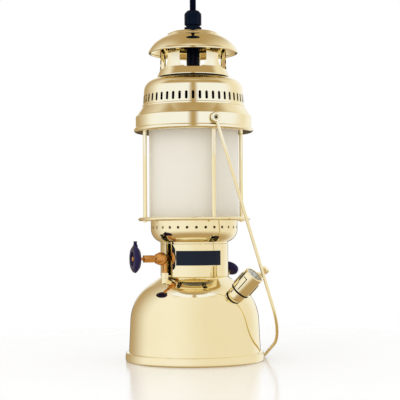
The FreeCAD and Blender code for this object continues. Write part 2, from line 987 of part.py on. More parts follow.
def make_bail_pivots():
    """Two riveted pivots, each with a spacer and a plain pin that the bail's eye springs onto."""
    band = size.rim_band_radius
    inside = leg_of(band - size.rim_wall, size.rivet_head_radius)
    eye_in = size.bail_leg - size.eye_wire_radius - size.side_gap
    end = size.bail_leg + size.eye_wire_radius - size.pin_recess
    edge = size.pin_rounding
    outline = [
        (ZERO, inside - size.rivet_head_height),
        (size.rivet_head_radius, inside - size.rivet_head_height),
        (size.rivet_head_radius, inside),
        (size.pivot_radius, inside),
        (size.pivot_radius, band),
        (size.spacer_radius, band),
        (size.spacer_radius, eye_in),
        (size.pivot_radius, eye_in),
        (size.pivot_radius, end - edge),
        (size.pivot_radius - edge, end, edge),
        (ZERO, end),
    ]
    pivots = []
    for side, turn in (("near", size.pivot_turn), ("far", size.pivot_turn + 180.0)):
        pivot = turned_body("bail_pivot_" + side, outline)
        pivot.Placement = facing(Vector(0, 0, number(pivot_height)), turn, ZERO)
        pivots.append(pivot)
    keep("bail_pivots", group("bail_pivots", pivots))


def make_bail():
    """The carrying bail: one wire with a gabled top and a round eye at each end."""
    leg = size.bail_leg
    eye_middle = size.pivot_radius + size.pivot_gap + size.eye_wire_radius
    pitch = size.bail_pitch
    half_bend = (-pitch + 90.0) / 2
    shoulder_cut = size.bail_bend * tangent(half_bend)
    peak_cut = size.bail_peak_bend * tangent(pitch)
    bend_in = leg - shoulder_cut * cosine(pitch)
    bend_end = size.bail_shoulder + shoulder_cut * sine(pitch)
    peak = size.bail_shoulder + leg * tangent(pitch)
    body = new_body("bail")
    path = new_sketch(body, "bail_path", "XZ_Plane")
    draw_outline(path, [
        (leg, -eye_middle),
        (leg, -(size.bail_shoulder - shoulder_cut)),
        (bend_in, -bend_end, -size.bail_bend),
        (peak_cut * cosine(pitch), -(peak - peak_cut * sine(pitch))),
        (-(peak_cut * cosine(pitch)), -(peak - peak_cut * sine(pitch)), -size.bail_peak_bend),
        (-bend_in, -bend_end),
        (-leg, -(size.bail_shoulder - shoulder_cut), -size.bail_bend),
        (-leg, -eye_middle),
    ], closed=False)
    section = new_sketch(body, "bail_section", "XY_Plane", -eye_middle)
    draw_circle(section, (leg, ZERO), size.bail_wire_radius)
    wire = body.newObject("PartDesign::AdditivePipe", "bail_wire")
    wire.Profile = section
    wire.Spine = (path, [f"Edge{index + 1}" for index in range(path.GeometryCount)])
    for side, place in (("right", leg), ("left", -leg)):
        turn_outline(body, f"{side}_eye", ((place, eye_middle), size.eye_wire_radius), axis="H_Axis")
    lean = FreeCAD.Rotation(Vector(1, 0, 0), number(size.bail_lean))
    placement = pivot_placement(pivot_height)
    body.Placement = FreeCAD.Placement(placement.Base, placement.Rotation * lean)
    keep("bail", body)


def make_vent_dome():
    """The hood's lower dome, with a ring of upright slots."""
    wall = size.dome_wall
    base = size.dome_radius
    shoulder = size.dome_top_radius + size.dome_rounding
    mouth = size.neck_radius + size.dome_mouth_gap
    bead_top = dome_bottom + size.dome_bead_height
    body = turned_body("vent_dome", [
        (base - wall, dome_bottom),
        (base + size.dome_bead, dome_bottom),
        (base + size.dome_bead, bead_top - size.dome_bead),
        (base, bead_top),
        (shoulder, dome_corner_height),
        (size.dome_top_radius, dome_top, size.dome_rounding),
        (mouth, dome_top),
        (mouth, dome_top - wall),
        (size.dome_top_radius, dome_top - wall),
        (shoulder - wall, dome_corner_height, -(size.dome_rounding - wall)),
    ])
    outline = rectangle((ZERO, dome_bottom + size.slot_rise), size.slot_width, size.slot_height)
    slot = cut(body, "vent_slot", outline, "XZ_Plane", base * 2)
    repeat(body, "vent_slots", slot, size.slot_count)
    keep("vent_dome", body)


def make_hood_neck():
    """The chimney above the dome: a windowed tube with a flared skirt that hides the joint."""
    radius = size.neck_radius
    inside = radius - size.neck_wall
    brim_inside = size.brim_dome_radius - size.brim_wall
    top = brim_centre_height + leg_of(brim_inside, radius - size.brim_centre_radius)
    skirt_low = dome_top + size.skirt_gap
    body = turned_body("hood_neck", [
        (inside, dome_top - size.neck_spigot),
        (radius, dome_top - size.neck_spigot),
        (radius, skirt_low + size.skirt_hollow),
        (size.skirt_radius - size.skirt_edge, skirt_low),
        (size.skirt_radius, skirt_low),
        (size.skirt_radius, skirt_low + size.skirt_edge),
        (radius, dome_top + size.skirt_height),
        (radius, top),
        (inside, top),
    ])
    half = size.vent_width / 2
    low = dome_top + size.vent_sill
    high = low + size.vent_height
    bend = size.vent_rounding
    outline = [
        (-half + bend, low, bend),
        (half - bend, low),
        (half, low + bend, bend),
        (half, high),
        (-half, high),
        (-half, low + bend),
    ]
    window = cut(body, "chimney_window", outline, "XZ_Plane", radius * 2, reverse=True)
    repeat(body, "chimney_windows", window, size.vent_count)
    keep("hood_neck", body)


def make_hood_brim():
    """The mushroom-shaped brim with a rolled edge."""
    centre = size.brim_centre_radius
    outer = size.brim_dome_radius
    inner = outer - size.brim_wall
    edge = size.brim_edge_angle
    mouth = size.brim_mouth
    body = new_body("hood_brim")
    turn_outline(body, "hood_brim", [
        (centre + inner * cosine(edge), brim_centre_height + inner * sine(edge), -inner),
        (centre + outer * cosine(edge), brim_centre_height + outer * sine(edge)),
        (mouth, cap_bottom, outer),
        (mouth, brim_centre_height + leg_of(inner, mouth - centre)),
    ])
    bead = ((size.brim_bead_radius, brim_centre_height + size.brim_bead_rise), size.brim_bead)
    turn_outline(body, "brim_bead", bead)
    keep("hood_brim", body)


def make_top_cap():
    """The stepped cap that closes the brim's mouth and hangs on the stem."""
    wall = size.cap_wall
    edge = size.cap_edge
    corner = size.cap_corner
    step = cap_bottom + size.cap_step_rise
    keep("top_cap", turned_body("top_cap", [
        (size.stem_radius + size.stem_gap, cap_top - wall),
        (size.cap_seat_radius, cap_top - wall),
        (size.cap_step_radius - wall, step - wall),
        (size.brim_mouth - size.seat_gap - wall, cap_bottom),
        (size.brim_mouth - size.seat_gap - wall, cap_bottom - size.cap_overlap),
        (size.brim_mouth - size.seat_gap, cap_bottom - size.cap_overlap),
        (size.brim_mouth - size.seat_gap, cap_bottom),
        (size.cap_radius, cap_bottom),
        (size.cap_radius, cap_bottom + edge),
        (size.cap_radius - corner, cap_bottom + edge + corner, corner),
        (size.cap_step_radius, step),
        (size.cap_seat_radius, cap_top),
        (size.stem_radius + size.stem_gap, cap_top),
    ]))


def make_badge_plate():
    """The bare plate on the collar's front, bent to its curve."""
    inside = size.collar_radius + size.badge_gap
    middle = collar_bottom + size.badge_rise
    low = middle - size.badge_height / 2
    high = middle + size.badge_height / 2
    body = new_body("badge_plate")
    angle = size.badge_width / inside * (180.0 / math.pi)
    turn_outline(body, "badge_plate", ring(inside, inside + size.badge_thickness, low, high), angle)
    body.Placement = about_axis(size.badge_turn - 90.0)
    keep("badge_plate", body)


def make_stem():
    """The hollow stem that the lantern hangs by, and the nut that clamps it below the cap."""
    keep("stem_tube", turned_body("stem_tube", ring(size.stem_bore, size.stem_radius, stem_bottom, cap_top)))
    nut = hex_nut("stem_nut", size.stem_nut_across, size.stem_nut_height, size.stem_radius + size.stem_gap)
    nut.Placement = about_axis(ZERO, cap_top - size.cap_wall - size.stem_nut_height)
    keep("stem_nut", nut)


def make_gland():
    """The cable gland: a hexagonal body with a spigot inside the stem, and a rounded nut."""
    bore = size.cable_radius + size.cable_gap
    body = new_body("gland_body")
    add(body, "gland_hexagon", hexagon(size.gland_across), "XY_Plane", size.gland_hex_height)
    neck = ((ZERO, ZERO), size.gland_neck_radius)
    add(body, "gland_neck", neck, "XY_Plane", size.gland_neck_height, size.gland_hex_height)
    spigot = ((ZERO, ZERO), size.stem_bore - size.gland_gap)
    add(body, "gland_spigot", spigot, "XY_Plane", size.gland_spigot, reverse=True)
    cut(body, "gland_bore", ((ZERO, ZERO), bore), "XY_Plane", size.gland_spigot * 4, both_ways=True)
    body.Placement = about_axis(ZERO, cap_top)
    keep("gland_body", body)
    radius = size.gland_nut_radius
    rounding = size.gland_nut_rounding
    low = gland_top - size.gland_nut_height
    keep("gland_nut", turned_body("gland_nut", [
        (bore, low),
        (radius, low),
        (radius, gland_top - rounding),
        (radius - rounding, gland_top, rounding),
        (bore, gland_top),
    ]))


def make_cable():
    """The cable inside the stem and the cord above the gland, both straight."""
    inner = cylinder("lamp_cable_rod", size.cable_radius, gland_top - stem_bottom)
    inner.Placement = about_axis(ZERO, stem_bottom)
    keep("lamp_cable", inner)
    cord = cylinder("cord_rod", size.cable_radius, size.cord_length)
    cord.Placement = about_axis(ZERO, gland_top)
    keep("cord", cord)


def make_lamp_holder():
    """The lamp holder that hangs from the stem, and its clamping ring."""
    low = stem_bottom - size.holder_length
    bore = size.bulb_cap_radius + size.bulb_cap_gap
    stem = size.stem_radius + size.stem_gap
    roof = low + size.bulb_cap_length - size.bulb_cap_reach
    rounding = size.holder_rounding
    neck_top = stem_bottom + size.holder_neck_height
    keep("lamp_holder", turned_body("lamp_holder", [
        (bore, low),
        (size.holder_radius, low),
        (size.holder_radius, stem_bottom - rounding),
        (size.holder_radius - rounding, stem_bottom, rounding),
        (size.holder_neck_radius, stem_bottom),
        (size.holder_neck_radius, neck_top),
        (stem, neck_top),
        (stem, roof),
        (bore, roof),
    ]))
    ring_low = low + size.holder_ring_rise
    ring_high = ring_low + size.holder_ring_height
    outline = ring(size.holder_radius + size.seat_gap, size.holder_ring_radius, ring_low, ring_high)
    keep("holder_ring", turned_body("holder_ring", outline))


def make_bulb():
    """The lamp: a screw cap and a closed globe."""
    cap_low = stem_bottom - size.holder_length - size.bulb_cap_reach
    cap = ring(ZERO, size.bulb_cap_radius, cap_low, cap_low + size.bulb_cap_length)
    keep("bulb_cap", turned_body("bulb_cap", cap))
    slope = size.bulb_slope
    globe = size.bulb_radius
    centre = cap_low - size.bulb_length + globe
    keep("bulb", turned_body("bulb", [
        (ZERO, centre - globe),
        (globe, centre, globe),
        (globe * cosine(slope), centre + globe * sine(slope), globe),
        (size.bulb_cap_radius, cap_low),
        (ZERO, cap_low),
    ]))


def make_filler(core):
    """The filler's neck, gasket and cap, and the pressure gauge in the cap's top."""
    bottom = -size.filler_sink
    top = size.filler_flange_height
    flange = turned_body("filler_flange", ring(size.filler_bore, size.filler_flange_radius, bottom, top))
    flange.Placement = on_filler()
    tube = turned_body("filler_tube", [
        (size.filler_bore, -size.filler_depth),
        (size.filler_neck_radius, -size.filler_depth),
        (size.filler_neck_radius, top),
        (size.filler_thread_radius, top),
        (size.filler_thread_radius, size.filler_neck_height),
        (size.filler_bore, size.filler_neck_height),
    ])
    tube.Placement = on_filler()
    keep("filler_neck", join("filler_neck", [subtract("filler_flange", flange, [core]), tube]))

    bore = size.filler_thread_radius + size.filler_cap_gap
    gasket = turned_body("filler_gasket", ring(bore, size.gasket_radius, top, top + size.gasket_height))
    gasket.Placement = on_filler()
    keep("filler_gasket", gasket)

    low = top + size.gasket_height
    high = low + size.filler_cap_height
    radius = size.filler_cap_radius
    rounding = size.filler_cap_rounding
    recess = high - size.dial_recess
    cap = turned_body("filler_cap", [
        (bore, low),
        (radius, low),
        (radius, high - rounding),
        (radius - rounding, high, rounding),
        (size.dial_radius, high),
        (size.dial_radius, recess),
        (ZERO, recess),
        (ZERO, high - size.filler_cap_roof),
        (bore, high - size.filler_cap_roof),
    ])
    for name, turn in (("first_grip", size.grip_turn), ("second_grip", size.second_grip_turn)):
        grip = add(cap, name, grip_outline(turn), "XY_Plane", size.grip_height, low + size.grip_low)
        repeat(cap, name + "s", grip, Size(2.0, "2"))
    lug_low = low + size.release_boss_low
    add(cap, "release_lug", release_lug_outline(), "XY_Plane", size.release_boss_height, lug_low)
    lug_top = lug_low + size.release_boss_height
    screw_hole = (release_centre(), size.release_stem + size.release_gap)
    cut(cap, "release_bore", screw_hole, "XY_Plane", lug_top - low - size.release_start, lug_top)
    cap.Placement = on_filler()
    keep("filler_cap", cap)

    face = size.dial_radius - size.dial_gap
    dial = turned_body("gauge_dial", ring(ZERO, face, recess, recess + size.dial_thickness))
    dial.Placement = on_filler()
    keep("gauge_dial", dial)
    glass_low = recess + size.dial_thickness
    glass = turned_body("gauge_glass", ring(ZERO, face, glass_low, glass_low + size.dial_thickness))
    glass.Placement = on_filler()
    keep("gauge_glass", glass)


def around(turn, radius, across=ZERO):
    """A point of the XY plane at a radius along a turn, shifted across it."""
    return (
        radius * cosine(turn) - across * sine(turn),
        radius * sine(turn) + across * cosine(turn),
    )


def grip_outline(turn):
    """One raised pad on the filler cap, which starts inside the cap's wall."""
    half = size.grip_width / 2
    inside = size.filler_cap_radius - size.grip_rise
    outside = size.filler_cap_radius + size.grip_rise
    return [
        around(turn, inside, -half),
        around(turn, outside, -half),
        around(turn, outside, half),
        around(turn, inside, half),
    ]


def release_centre():
    return around(size.release_turn, size.release_offset)


def release_lug_outline():
    """The lug beside the filler cap that holds the release screw."""
    turn = size.release_turn
    half = size.release_boss_radius
    inside = size.filler_cap_radius - size.grip_rise * 2
    return [
        around(turn, inside, -half),
        around(turn, size.release_offset, -half),
        (*around(turn, size.release_offset + half), half),
        (*around(turn, size.release_offset, half), half),
        around(turn, inside, half),
    ]


def make_release_screw():
    """The screw in the filler cap's lug that lets the pressure out."""
    low = size.filler_flange_height + size.gasket_height
    start = low + size.release_start + 0.5
    knob = low + size.release_reach
    top = knob + size.release_height
    bend = size.release_rounding
    radius = size.release_radius
    screw = turned_body("release_screw", [
        (ZERO, start),
        (size.release_stem, start),
        (size.release_stem, knob),
        (radius - bend, knob),
        (radius, knob + bend, bend),
        (radius, top - bend),
        (radius - bend, top, bend),
        (ZERO, top),
    ])
    placement = on_filler()
    across, along = release_centre()
    shift = FreeCAD.Placement(Vector(number(across), number(along), 0), FreeCAD.Rotation())
    screw.Placement = placement.multiply(shift)
    keep("release_screw", screw)


def make_pump(core):
    """The pump: a barrel inside the tank, a bush on the shoulder, and a rod with a knob and a cup."""
    flange_top = size.pump_bush_height
    bend = size.pump_bush_rounding
    inside = size.pump_barrel_radius - size.pump_barrel_wall
    plug = inside - size.seat_gap
    hole = size.pump_rod_radius + size.pump_rod_gap
    flange = turned_body("pump_flange", [
        (hole, -size.pump_bush_sink),
        (size.pump_bush_radius, -size.pump_bush_sink),
        (size.pump_bush_radius, flange_top - bend),
        (size.pump_bush_radius - bend, flange_top, bend),
        (hole, flange_top),
    ])
    flange.Placement = on_pump()
    plug_body = turned_body("pump_plug", ring(hole, plug, -size.pump_plug_depth, flange_top / 2))
    plug_body.Placement = on_pump()
    keep("pump_bush", join("pump_bush", [subtract("pump_flange", flange, [core]), plug_body]))

    top = -size.pump_barrel_top
    bottom = -size.pump_barrel_length
    floor = bottom - size.pump_barrel_wall
    barrel = turned_body("pump_barrel", [
        (ZERO, floor),
        (size.pump_barrel_radius, floor),
        (size.pump_barrel_radius, top),
        (inside, top),
        (inside, bottom),
        (ZERO, bottom),
    ])
    barrel.Placement = on_pump()
    keep("pump_barrel", barrel)

    nose = size.check_valve_nose
    valve_bottom = floor - size.check_valve_length
    valve = turned_body("pump_valve", [
        (ZERO, valve_bottom),
        (nose, valve_bottom),
        (size.check_valve_radius, valve_bottom + nose),
        (size.check_valve_radius, floor),
        (ZERO, floor),
    ])
    valve.Placement = on_pump()
    keep("pump_valve", valve)

    rod_length = size.pump_rod_depth + size.pump_knob_reach + size.pump_knob_bore
    rod = cylinder("pump_rod_bar", size.pump_rod_radius, rod_length)
    rod.Placement = on_pump(-size.pump_rod_depth)
    keep("pump_rod", rod)

    radius = size.pump_knob_radius
    low = size.pump_knob_reach
    high = low + size.pump_knob_height
    bend = size.pump_knob_rounding
    knob = turned_body("pump_knob", [
        (size.pump_rod_radius, low),
        (radius - bend, low),
        (radius, low + bend, bend),
        (radius, high - bend),
        (radius - bend, high, bend),
        (ZERO, high),
        (ZERO, low + size.pump_knob_bore),
        (size.pump_rod_radius, low + size.pump_knob_bore),
    ])
    knob.Placement = on_pump()
    keep("pump_knob", knob)

    skirt = inside - size.pump_cup_gap
    cup_low = -size.pump_rod_depth
    cup_high = cup_low + size.pump_cup_height
    wall = size.pump_cup_wall
    cup = turned_body("pump_cup", [
        (size.pump_rod_radius, cup_high - wall),
        (skirt - wall, cup_high - wall),
        (skirt - wall, cup_low),
        (skirt, cup_low),
        (skirt, cup_high),
        (size.pump_rod_radius, cup_high),
    ])
    cup.Placement = on_pump()
    keep("pump_cup", cup)


def make_valve_body(core):
    """The regulating valve beside the collar: a boss on the tank, a union nut and an elbow."""
    boss_top = cone_height(size.riser_circle) + size.riser_boss_rise
    boss_height = size.riser_boss_rise + size.riser_boss_depth
    boss = cylinder("riser_boss_bar", size.riser_boss_radius, boss_height)
    boss.Placement = FreeCAD.Placement(on_riser(boss_top - boss_height), FreeCAD.Rotation())
    keep("riser_boss", subtract("riser_boss", boss, [core]))

    bore = size.riser_radius + size.riser_gap
    nut = hex_nut("riser_nut", size.riser_nut_across, size.riser_nut_height, bore)
    nut.Placement = FreeCAD.Placement(on_riser(boss_top), FreeCAD.Rotation())
    keep("riser_nut", nut)

    reach = size.valve_ball_reach
    ball = size.valve_ball_radius
    ring_radius = size.valve_ring_radius
    meeting = reach + leg_of(ball, ring_radius)
    slope_end = size.valve_ring_end + ring_radius - size.valve_neck_radius
    elbow = turned_body("valve_elbow", [
        (ZERO, reach - ball),
        (ball, reach, ball),
        (ring_radius, meeting, ball),
        (ring_radius, size.valve_ring_end),
        (size.valve_neck_radius, slope_end),
        (size.valve_neck_radius, size.packing_start),
        (size.valve_bore, size.packing_start),
        (size.valve_bore, size.spindle_start - 1.0),
        (ZERO, size.spindle_start - 1.0),
    ])
    elbow.Placement = on_valve()
    valve_height = collar_bottom + size.valve_rise
    pipe = cylinder("riser_pipe", size.riser_radius, valve_height - boss_top)
    pipe.Placement = FreeCAD.Placement(on_riser(boss_top), FreeCAD.Rotation())
    inlet = cylinder("inlet_pipe", size.inlet_radius, size.inlet_depth)
    inlet.Placement = facing(on_riser(valve_height), size.riser_turn + 180.0, ZERO)
    room = cylinder("spindle_room", size.valve_bore, size.packing_start)
    room.Placement = facing(on_riser(valve_height), size.spindle_turn, ZERO, size.spindle_start - 1.0)
    keep("valve_body", subtract("valve_body", join("valve_solid", [elbow, pipe, inlet]), [room]))

    packing = hex_nut(
        "packing_nut", size.packing_across, size.packing_height, size.spindle_radius + size.spindle_gap
    )
    packing.Placement = facing(on_riser(valve_height), size.spindle_turn, ZERO, size.packing_start)
    keep("packing_nut", packing)


def make_hand_wheel():
    """The spindle, the hand wheel with its pointer, and the screw that holds the wheel."""
    low = size.wheel_start
    recess = low + size.wheel_face_rise - size.wheel_recess
    middle = on_riser(collar_bottom + size.valve_rise)
    spindle = cylinder("spindle_bar", size.spindle_radius, size.spindle_end - size.spindle_start)
    spindle.Placement = facing(middle, size.spindle_turn, ZERO, size.spindle_start)
    keep("valve_spindle", spindle)

    bore = size.spindle_radius + size.wheel_bore_gap
    face = low + size.wheel_face_rise
    wheel = turned_body("hand_wheel", [
        (bore, low),
        (size.wheel_back_radius, low),
        (size.wheel_radius, low + size.wheel_rim_rise, size.wheel_back_bulge),
        (size.wheel_face_radius, face, size.wheel_rim_bulge),
        (size.wheel_recess_radius, face),
        (size.wheel_recess_radius, recess),
        (bore, recess),
    ])
    half = size.pointer_width / 2
    foot = half + size.pointer_shoulder
    inside = size.wheel_radius - size.pointer_height
    tip = size.wheel_radius + size.pointer_height
    pointer = [
        (-inside, -foot),
        (-inside, foot),
        (-(size.wheel_radius - size.pointer_height / 4), foot),
        (-(size.wheel_radius + size.pointer_height / 4), half),
        (-tip, half),
        (-tip, -half),
        (-(size.wheel_radius + size.pointer_height / 4), -half),
        (-(size.wheel_radius - size.pointer_height / 4), -foot),
    ]
    pointer_low = low + size.wheel_rim_rise - size.pointer_thickness / 2
    add(wheel, "wheel_pointer", pointer, "XY_Plane", size.pointer_thickness, pointer_low)
    wheel.Placement = on_valve()
    keep("hand_wheel", wheel)

    head = size.screw_head_radius
    screw = turned_body("wheel_screw", [
        (ZERO, size.spindle_end),
        (size.screw_radius, size.spindle_end),
        (size.screw_radius, recess),
        (head, recess),
        (head, recess + size.screw_head_height / 2),
        (head - size.screw_head_height / 2, recess + size.screw_head_height, size.screw_head_height / 2),
        (ZERO, recess + size.screw_head_height),
    ])
    screw.Placement = on_valve()
    keep("wheel_screw", screw)


def make_ceiling_rose():
    """The cup against the ceiling that covers the bracket, and the grip that holds the cord."""
    wall = size.rose_wall
    radius = size.rose_radius
    bend = size.rose_rounding
    hole = size.cord_grip_radius + size.seat_gap
    shell = turned_body("rose_shell", [
        (hole, rose_bottom),
        (radius - bend, rose_bottom),
        (radius, rose_bottom + bend, bend),
        (radius, rose_top),
        (radius - wall, rose_top),
        (radius - wall, rose_bottom + bend),
        (radius - bend, rose_bottom + wall, -(bend - wall)),
        (hole, rose_bottom + wall),
    ])
    screw_hole = ((ZERO, rose_top - size.rose_screw_drop), size.rose_screw_radius + size.seat_gap)
    cut(shell, "rose_screw_holes", screw_hole, "YZ_Plane", radius * 4, both_ways=True)
    keep("ceiling_rose", shell)

    bore = size.cable_radius + size.cable_gap
    keep("cord_grip", turned_body("cord_grip", [
        (bore, cord_top),
        (size.cord_grip_flange, cord_top),
        (size.cord_grip_flange, rose_bottom),
        (size.cord_grip_radius, rose_bottom),
        (size.cord_grip_radius, rose_bottom + size.cord_grip_height),
        (bore, rose_bottom + size.cord_grip_height),
    ]))


def make_ceiling_bracket():
    """The strap that screws to the ceiling, with an ear at each end for the rose."""
    reach = size.bracket_reach
    thickness = size.bracket_thickness
    width = size.bracket_width
    body = new_body("ceiling_bracket")
    side = [
        (-reach, rose_top - size.bracket_ear),
        (-reach + thickness, rose_top - size.bracket_ear),
        (-reach + thickness, rose_top - thickness),
        (reach - thickness, rose_top - thickness),
        (reach - thickness, rose_top - size.bracket_ear),
        (reach, rose_top - size.bracket_ear),
        (reach, rose_top),
        (-reach, rose_top),
    ]
    strap = add(body, "bracket_strap", side, "XZ_Plane", width)
    strap.Midplane = True
    doc.recompute()
    for index, sign in enumerate((1.0, -1.0)):
        centre = (size.bracket_hole_spacing / 2 * sign, ZERO)
        hole = (centre, size.bracket_hole_radius)
        cut(body, f"bracket_hole_{index + 1}", hole, "XY_Plane", thickness, rose_top)
    ear_hole = ((ZERO, rose_top - size.rose_screw_drop), size.rose_screw_radius + size.seat_gap)
    cut(body, "ear_holes", ear_hole, "YZ_Plane", reach * 4, both_ways=True)
    keep("ceiling_bracket", body)


def make_rose_screws():
    """The two screws that hold the rose on the bracket's ears."""
    outline = [
        (ZERO, size.rose_radius - size.rose_screw_length),
        (size.rose_screw_radius, size.rose_radius - size.rose_screw_length),
        (size.rose_screw_radius, size.rose_radius),
        (size.rose_screw_head, size.rose_radius),
        (size.rose_screw_head, size.rose_radius + size.rose_screw_head_height),
        (ZERO, size.rose_radius + size.rose_screw_head_height),
    ]
    screws = []
    for name, turn in (("right", 90.0), ("left", -90.0)):
        screw = turned_body("rose_screw_" + name, outline)
        screw.Placement = facing(Vector(0, 0, number(rose_top - size.rose_screw_drop)), turn, ZERO)
        screws.append(screw)
    keep("rose_screws", group("rose_screws", screws))


def check_model():
    """Stop if any object failed to recompute or any piece is not a sound solid."""
    doc.recompute()
    for thing in doc.Objects:
        if "Invalid" in thing.State or "Error" in thing.State:
            raise RuntimeError(f"{thing.Name} could not be computed")
    for name, piece in parts.items():
        shape = piece.Shape
        if shape.isNull() or not shape.isValid() or shape.Volume <= 0.0 or not shape.Solids:
            raise RuntimeError(f"{name} is not a sound solid")


core = tank_core()
make_foot_band()
make_base_plate()
make_tank_bell()
make_tank_top_plate()
make_collar()
make_gallery_cup()
make_gallery_ring()
make_posts()
make_post_nuts()
make_glass()
make_rim_ring()
make_bail_pivots()
make_bail()
make_vent_dome()
make_hood_neck()
make_hood_brim()
make_top_cap()
make_badge_plate()
make_stem()
make_gland()
make_cable()
make_lamp_holder()
make_bulb()
make_filler(core)
make_release_screw()
make_pump(core)
make_valve_body(core)
make_hand_wheel()
make_ceiling_rose()
make_ceiling_bracket()
make_rose_screws()
check_model()

os.makedirs("parts", exist_ok=True)
for name, piece in parts.items():
    piece.Shape.exportStep(f"parts/{name}.step")
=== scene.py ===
import math

import bmesh
import bpy
from mathutils import Matrix, Vector


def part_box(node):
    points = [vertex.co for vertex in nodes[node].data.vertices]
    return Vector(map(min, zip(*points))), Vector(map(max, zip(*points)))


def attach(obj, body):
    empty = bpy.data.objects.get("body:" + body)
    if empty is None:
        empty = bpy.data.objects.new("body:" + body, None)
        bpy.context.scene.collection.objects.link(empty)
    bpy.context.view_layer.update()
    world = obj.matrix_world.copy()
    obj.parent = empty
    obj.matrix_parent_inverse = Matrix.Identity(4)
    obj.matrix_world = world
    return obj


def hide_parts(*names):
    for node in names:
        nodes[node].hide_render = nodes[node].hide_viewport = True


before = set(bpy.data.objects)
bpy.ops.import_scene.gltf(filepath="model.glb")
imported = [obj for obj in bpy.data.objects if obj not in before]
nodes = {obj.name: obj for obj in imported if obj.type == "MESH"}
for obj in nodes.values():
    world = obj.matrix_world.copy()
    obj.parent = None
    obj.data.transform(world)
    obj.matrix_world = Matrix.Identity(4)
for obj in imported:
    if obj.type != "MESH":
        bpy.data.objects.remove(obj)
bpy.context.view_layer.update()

scene = bpy.context.scene
fullTurn = 2 * math.pi


# ---- angles in degrees

def sine(angle):
    return math.sin(math.radians(angle))


def cosine(angle):
    return math.cos(math.radians(angle))


def tangent(angle):
    return math.tan(math.radians(angle))


def arcCosine(share):
    return math.degrees(math.acos(share))


def turned(angle, axis):
    return Matrix.Rotation(math.radians(angle), 4, axis)


# ---- camera

view = {
    "side": 0.0071,
    "distance": 1.425,
    "height": 0.1592,
    "lens": 105.1,
    "shiftUp": 0.07375,
    "roll": -0.353,
}

camera = bpy.data.objects.new("photoCamera", bpy.data.cameras.new("photoCamera"))
camera.data.lens = view["lens"]
camera.data.sensor_width = 36.0
camera.data.shift_y = view["shiftUp"]
camera.matrix_world = (
    Matrix.Translation((view["side"], -view["distance"], view["height"]))
    @ turned(90, "X")
    @ turned(view["roll"], "Z")
)
scene.collection.objects.link(camera)
scene.camera = camera
scene.view_settings.view_transform = "Standard"
print("camera placed")


# ---- helpers for shapes

def drawProfile(bm, profile, closed):
    # radius and height pairs, a third value rounds that corner, and four values sweep an arc:
    # its centre's radius and height, its turn in degrees and its steps
    tip = first = None
    rounded = []
    for point in profile:
        if len(point) == 4:
            centreRadius, centreHeight, turn, steps = point
            swept = bmesh.ops.spin(
                bm, geom=[tip], cent=(centreRadius, 0, centreHeight), axis=(0, -1, 0),
                angle=math.radians(turn), steps=steps,
            )
            tip = [item for item in swept["geom_last"] if isinstance(item, bmesh.types.BMVert)][0]
            continue
        corner = bm.verts.new((point[0], 0, point[1]))
        if tip:
            bm.edges.new((tip, corner))
        first = first or corner
        tip = corner
        if len(point) == 3:
            rounded.append((corner, point[2]))
    if closed:
        bm.edges.new((tip, first))
    for corner, radius in rounded:
        roundCorner(bm, corner, radius)


def roundCorner(bm, corner, radius):
    first, second = (edge.other_vert(corner).co - corner.co for edge in corner.link_edges)
    turn = math.pi - first.angle(second)
    bmesh.ops.bevel(
        bm, geom=[corner], affect="VERTICES", offset=radius * math.tan(turn / 2),
        segments=max(3, math.ceil(math.degrees(turn) / 9)), profile=0.5, material=-1,
    )


def turnShape(profile, steps=128, angle=fullTurn, place=None):
    # an outline turned about the upright axis; one that starts and ends on the axis stays open there
    bm = bmesh.new()
    onAxis = profile[0][0] == 0 and profile[-1][0] == 0
    drawProfile(bm, profile, not onAxis)
    whole = angle == fullTurn
    if not whole:
        bmesh.ops.rotate(bm, verts=bm.verts, cent=(0, 0, 0), matrix=Matrix.Rotation(-math.pi / 2 - angle / 2, 3, "Z"))
        bmesh.ops.contextual_create(bm, geom=bm.edges[:])
    bmesh.ops.spin(
        bm, geom=bm.verts[:] + bm.edges[:] + bm.faces[:], cent=(0, 0, 0), axis=(0, 0, 1), angle=angle,
        steps=steps, use_merge=whole,
    )
    bmesh.ops.remove_doubles(bm, verts=bm.verts, dist=2e-6)
    bmesh.ops.recalc_face_normals(bm, faces=bm.faces)
    if place:
        bmesh.ops.transform(bm, matrix=place, verts=bm.verts)
    return bm


def prismShape(corners, depth, rounding=0, segments=4, place=None):
    # an upright outline of x and z pairs, pushed from the front towards the back
    bm = bmesh.new()
    outline = [bm.verts.new((x, 0, z)) for x, z in corners]
    bm.faces.new(outline)
    if rounding:
        bmesh.ops.bevel(
            bm, geom=outline, affect="VERTICES", offset=rounding, segments=segments, profile=0.5, material=-1
        )
    pushed = bmesh.ops.extrude_face_region(bm, geom=bm.faces[:])
    fresh = [item for item in pushed["geom"] if isinstance(item, bmesh.types.BMVert)]
    bmesh.ops.translate(bm, verts=fresh, vec=(0, depth, 0))
    bmesh.ops.recalc_face_normals(bm, faces=bm.faces)
    if place:
        bmesh.ops.transform(bm, matrix=place, verts=bm.verts)
    return bm


def rectangle(width, height, low=None):
    half = width / 2
    low = -height / 2 if low is None else low
    return [(-half, low), (half, low), (half, low + height), (-half, low + height)]


def section(inner, outer, low, high):
    # the outline of a plain disc, rod or tube
    return [(inner, low), (outer, low), (outer, high), (inner, high)]


def repeatAround(bm, count):
    bmesh.ops.spin(
        bm, geom=bm.verts[:] + bm.edges[:] + bm.faces[:], cent=(0, 0, 0), axis=(0, 0, 1),
        angle=fullTurn * (count - 1) / count, steps=count - 1, use_duplicate=True,
    )
    return bm


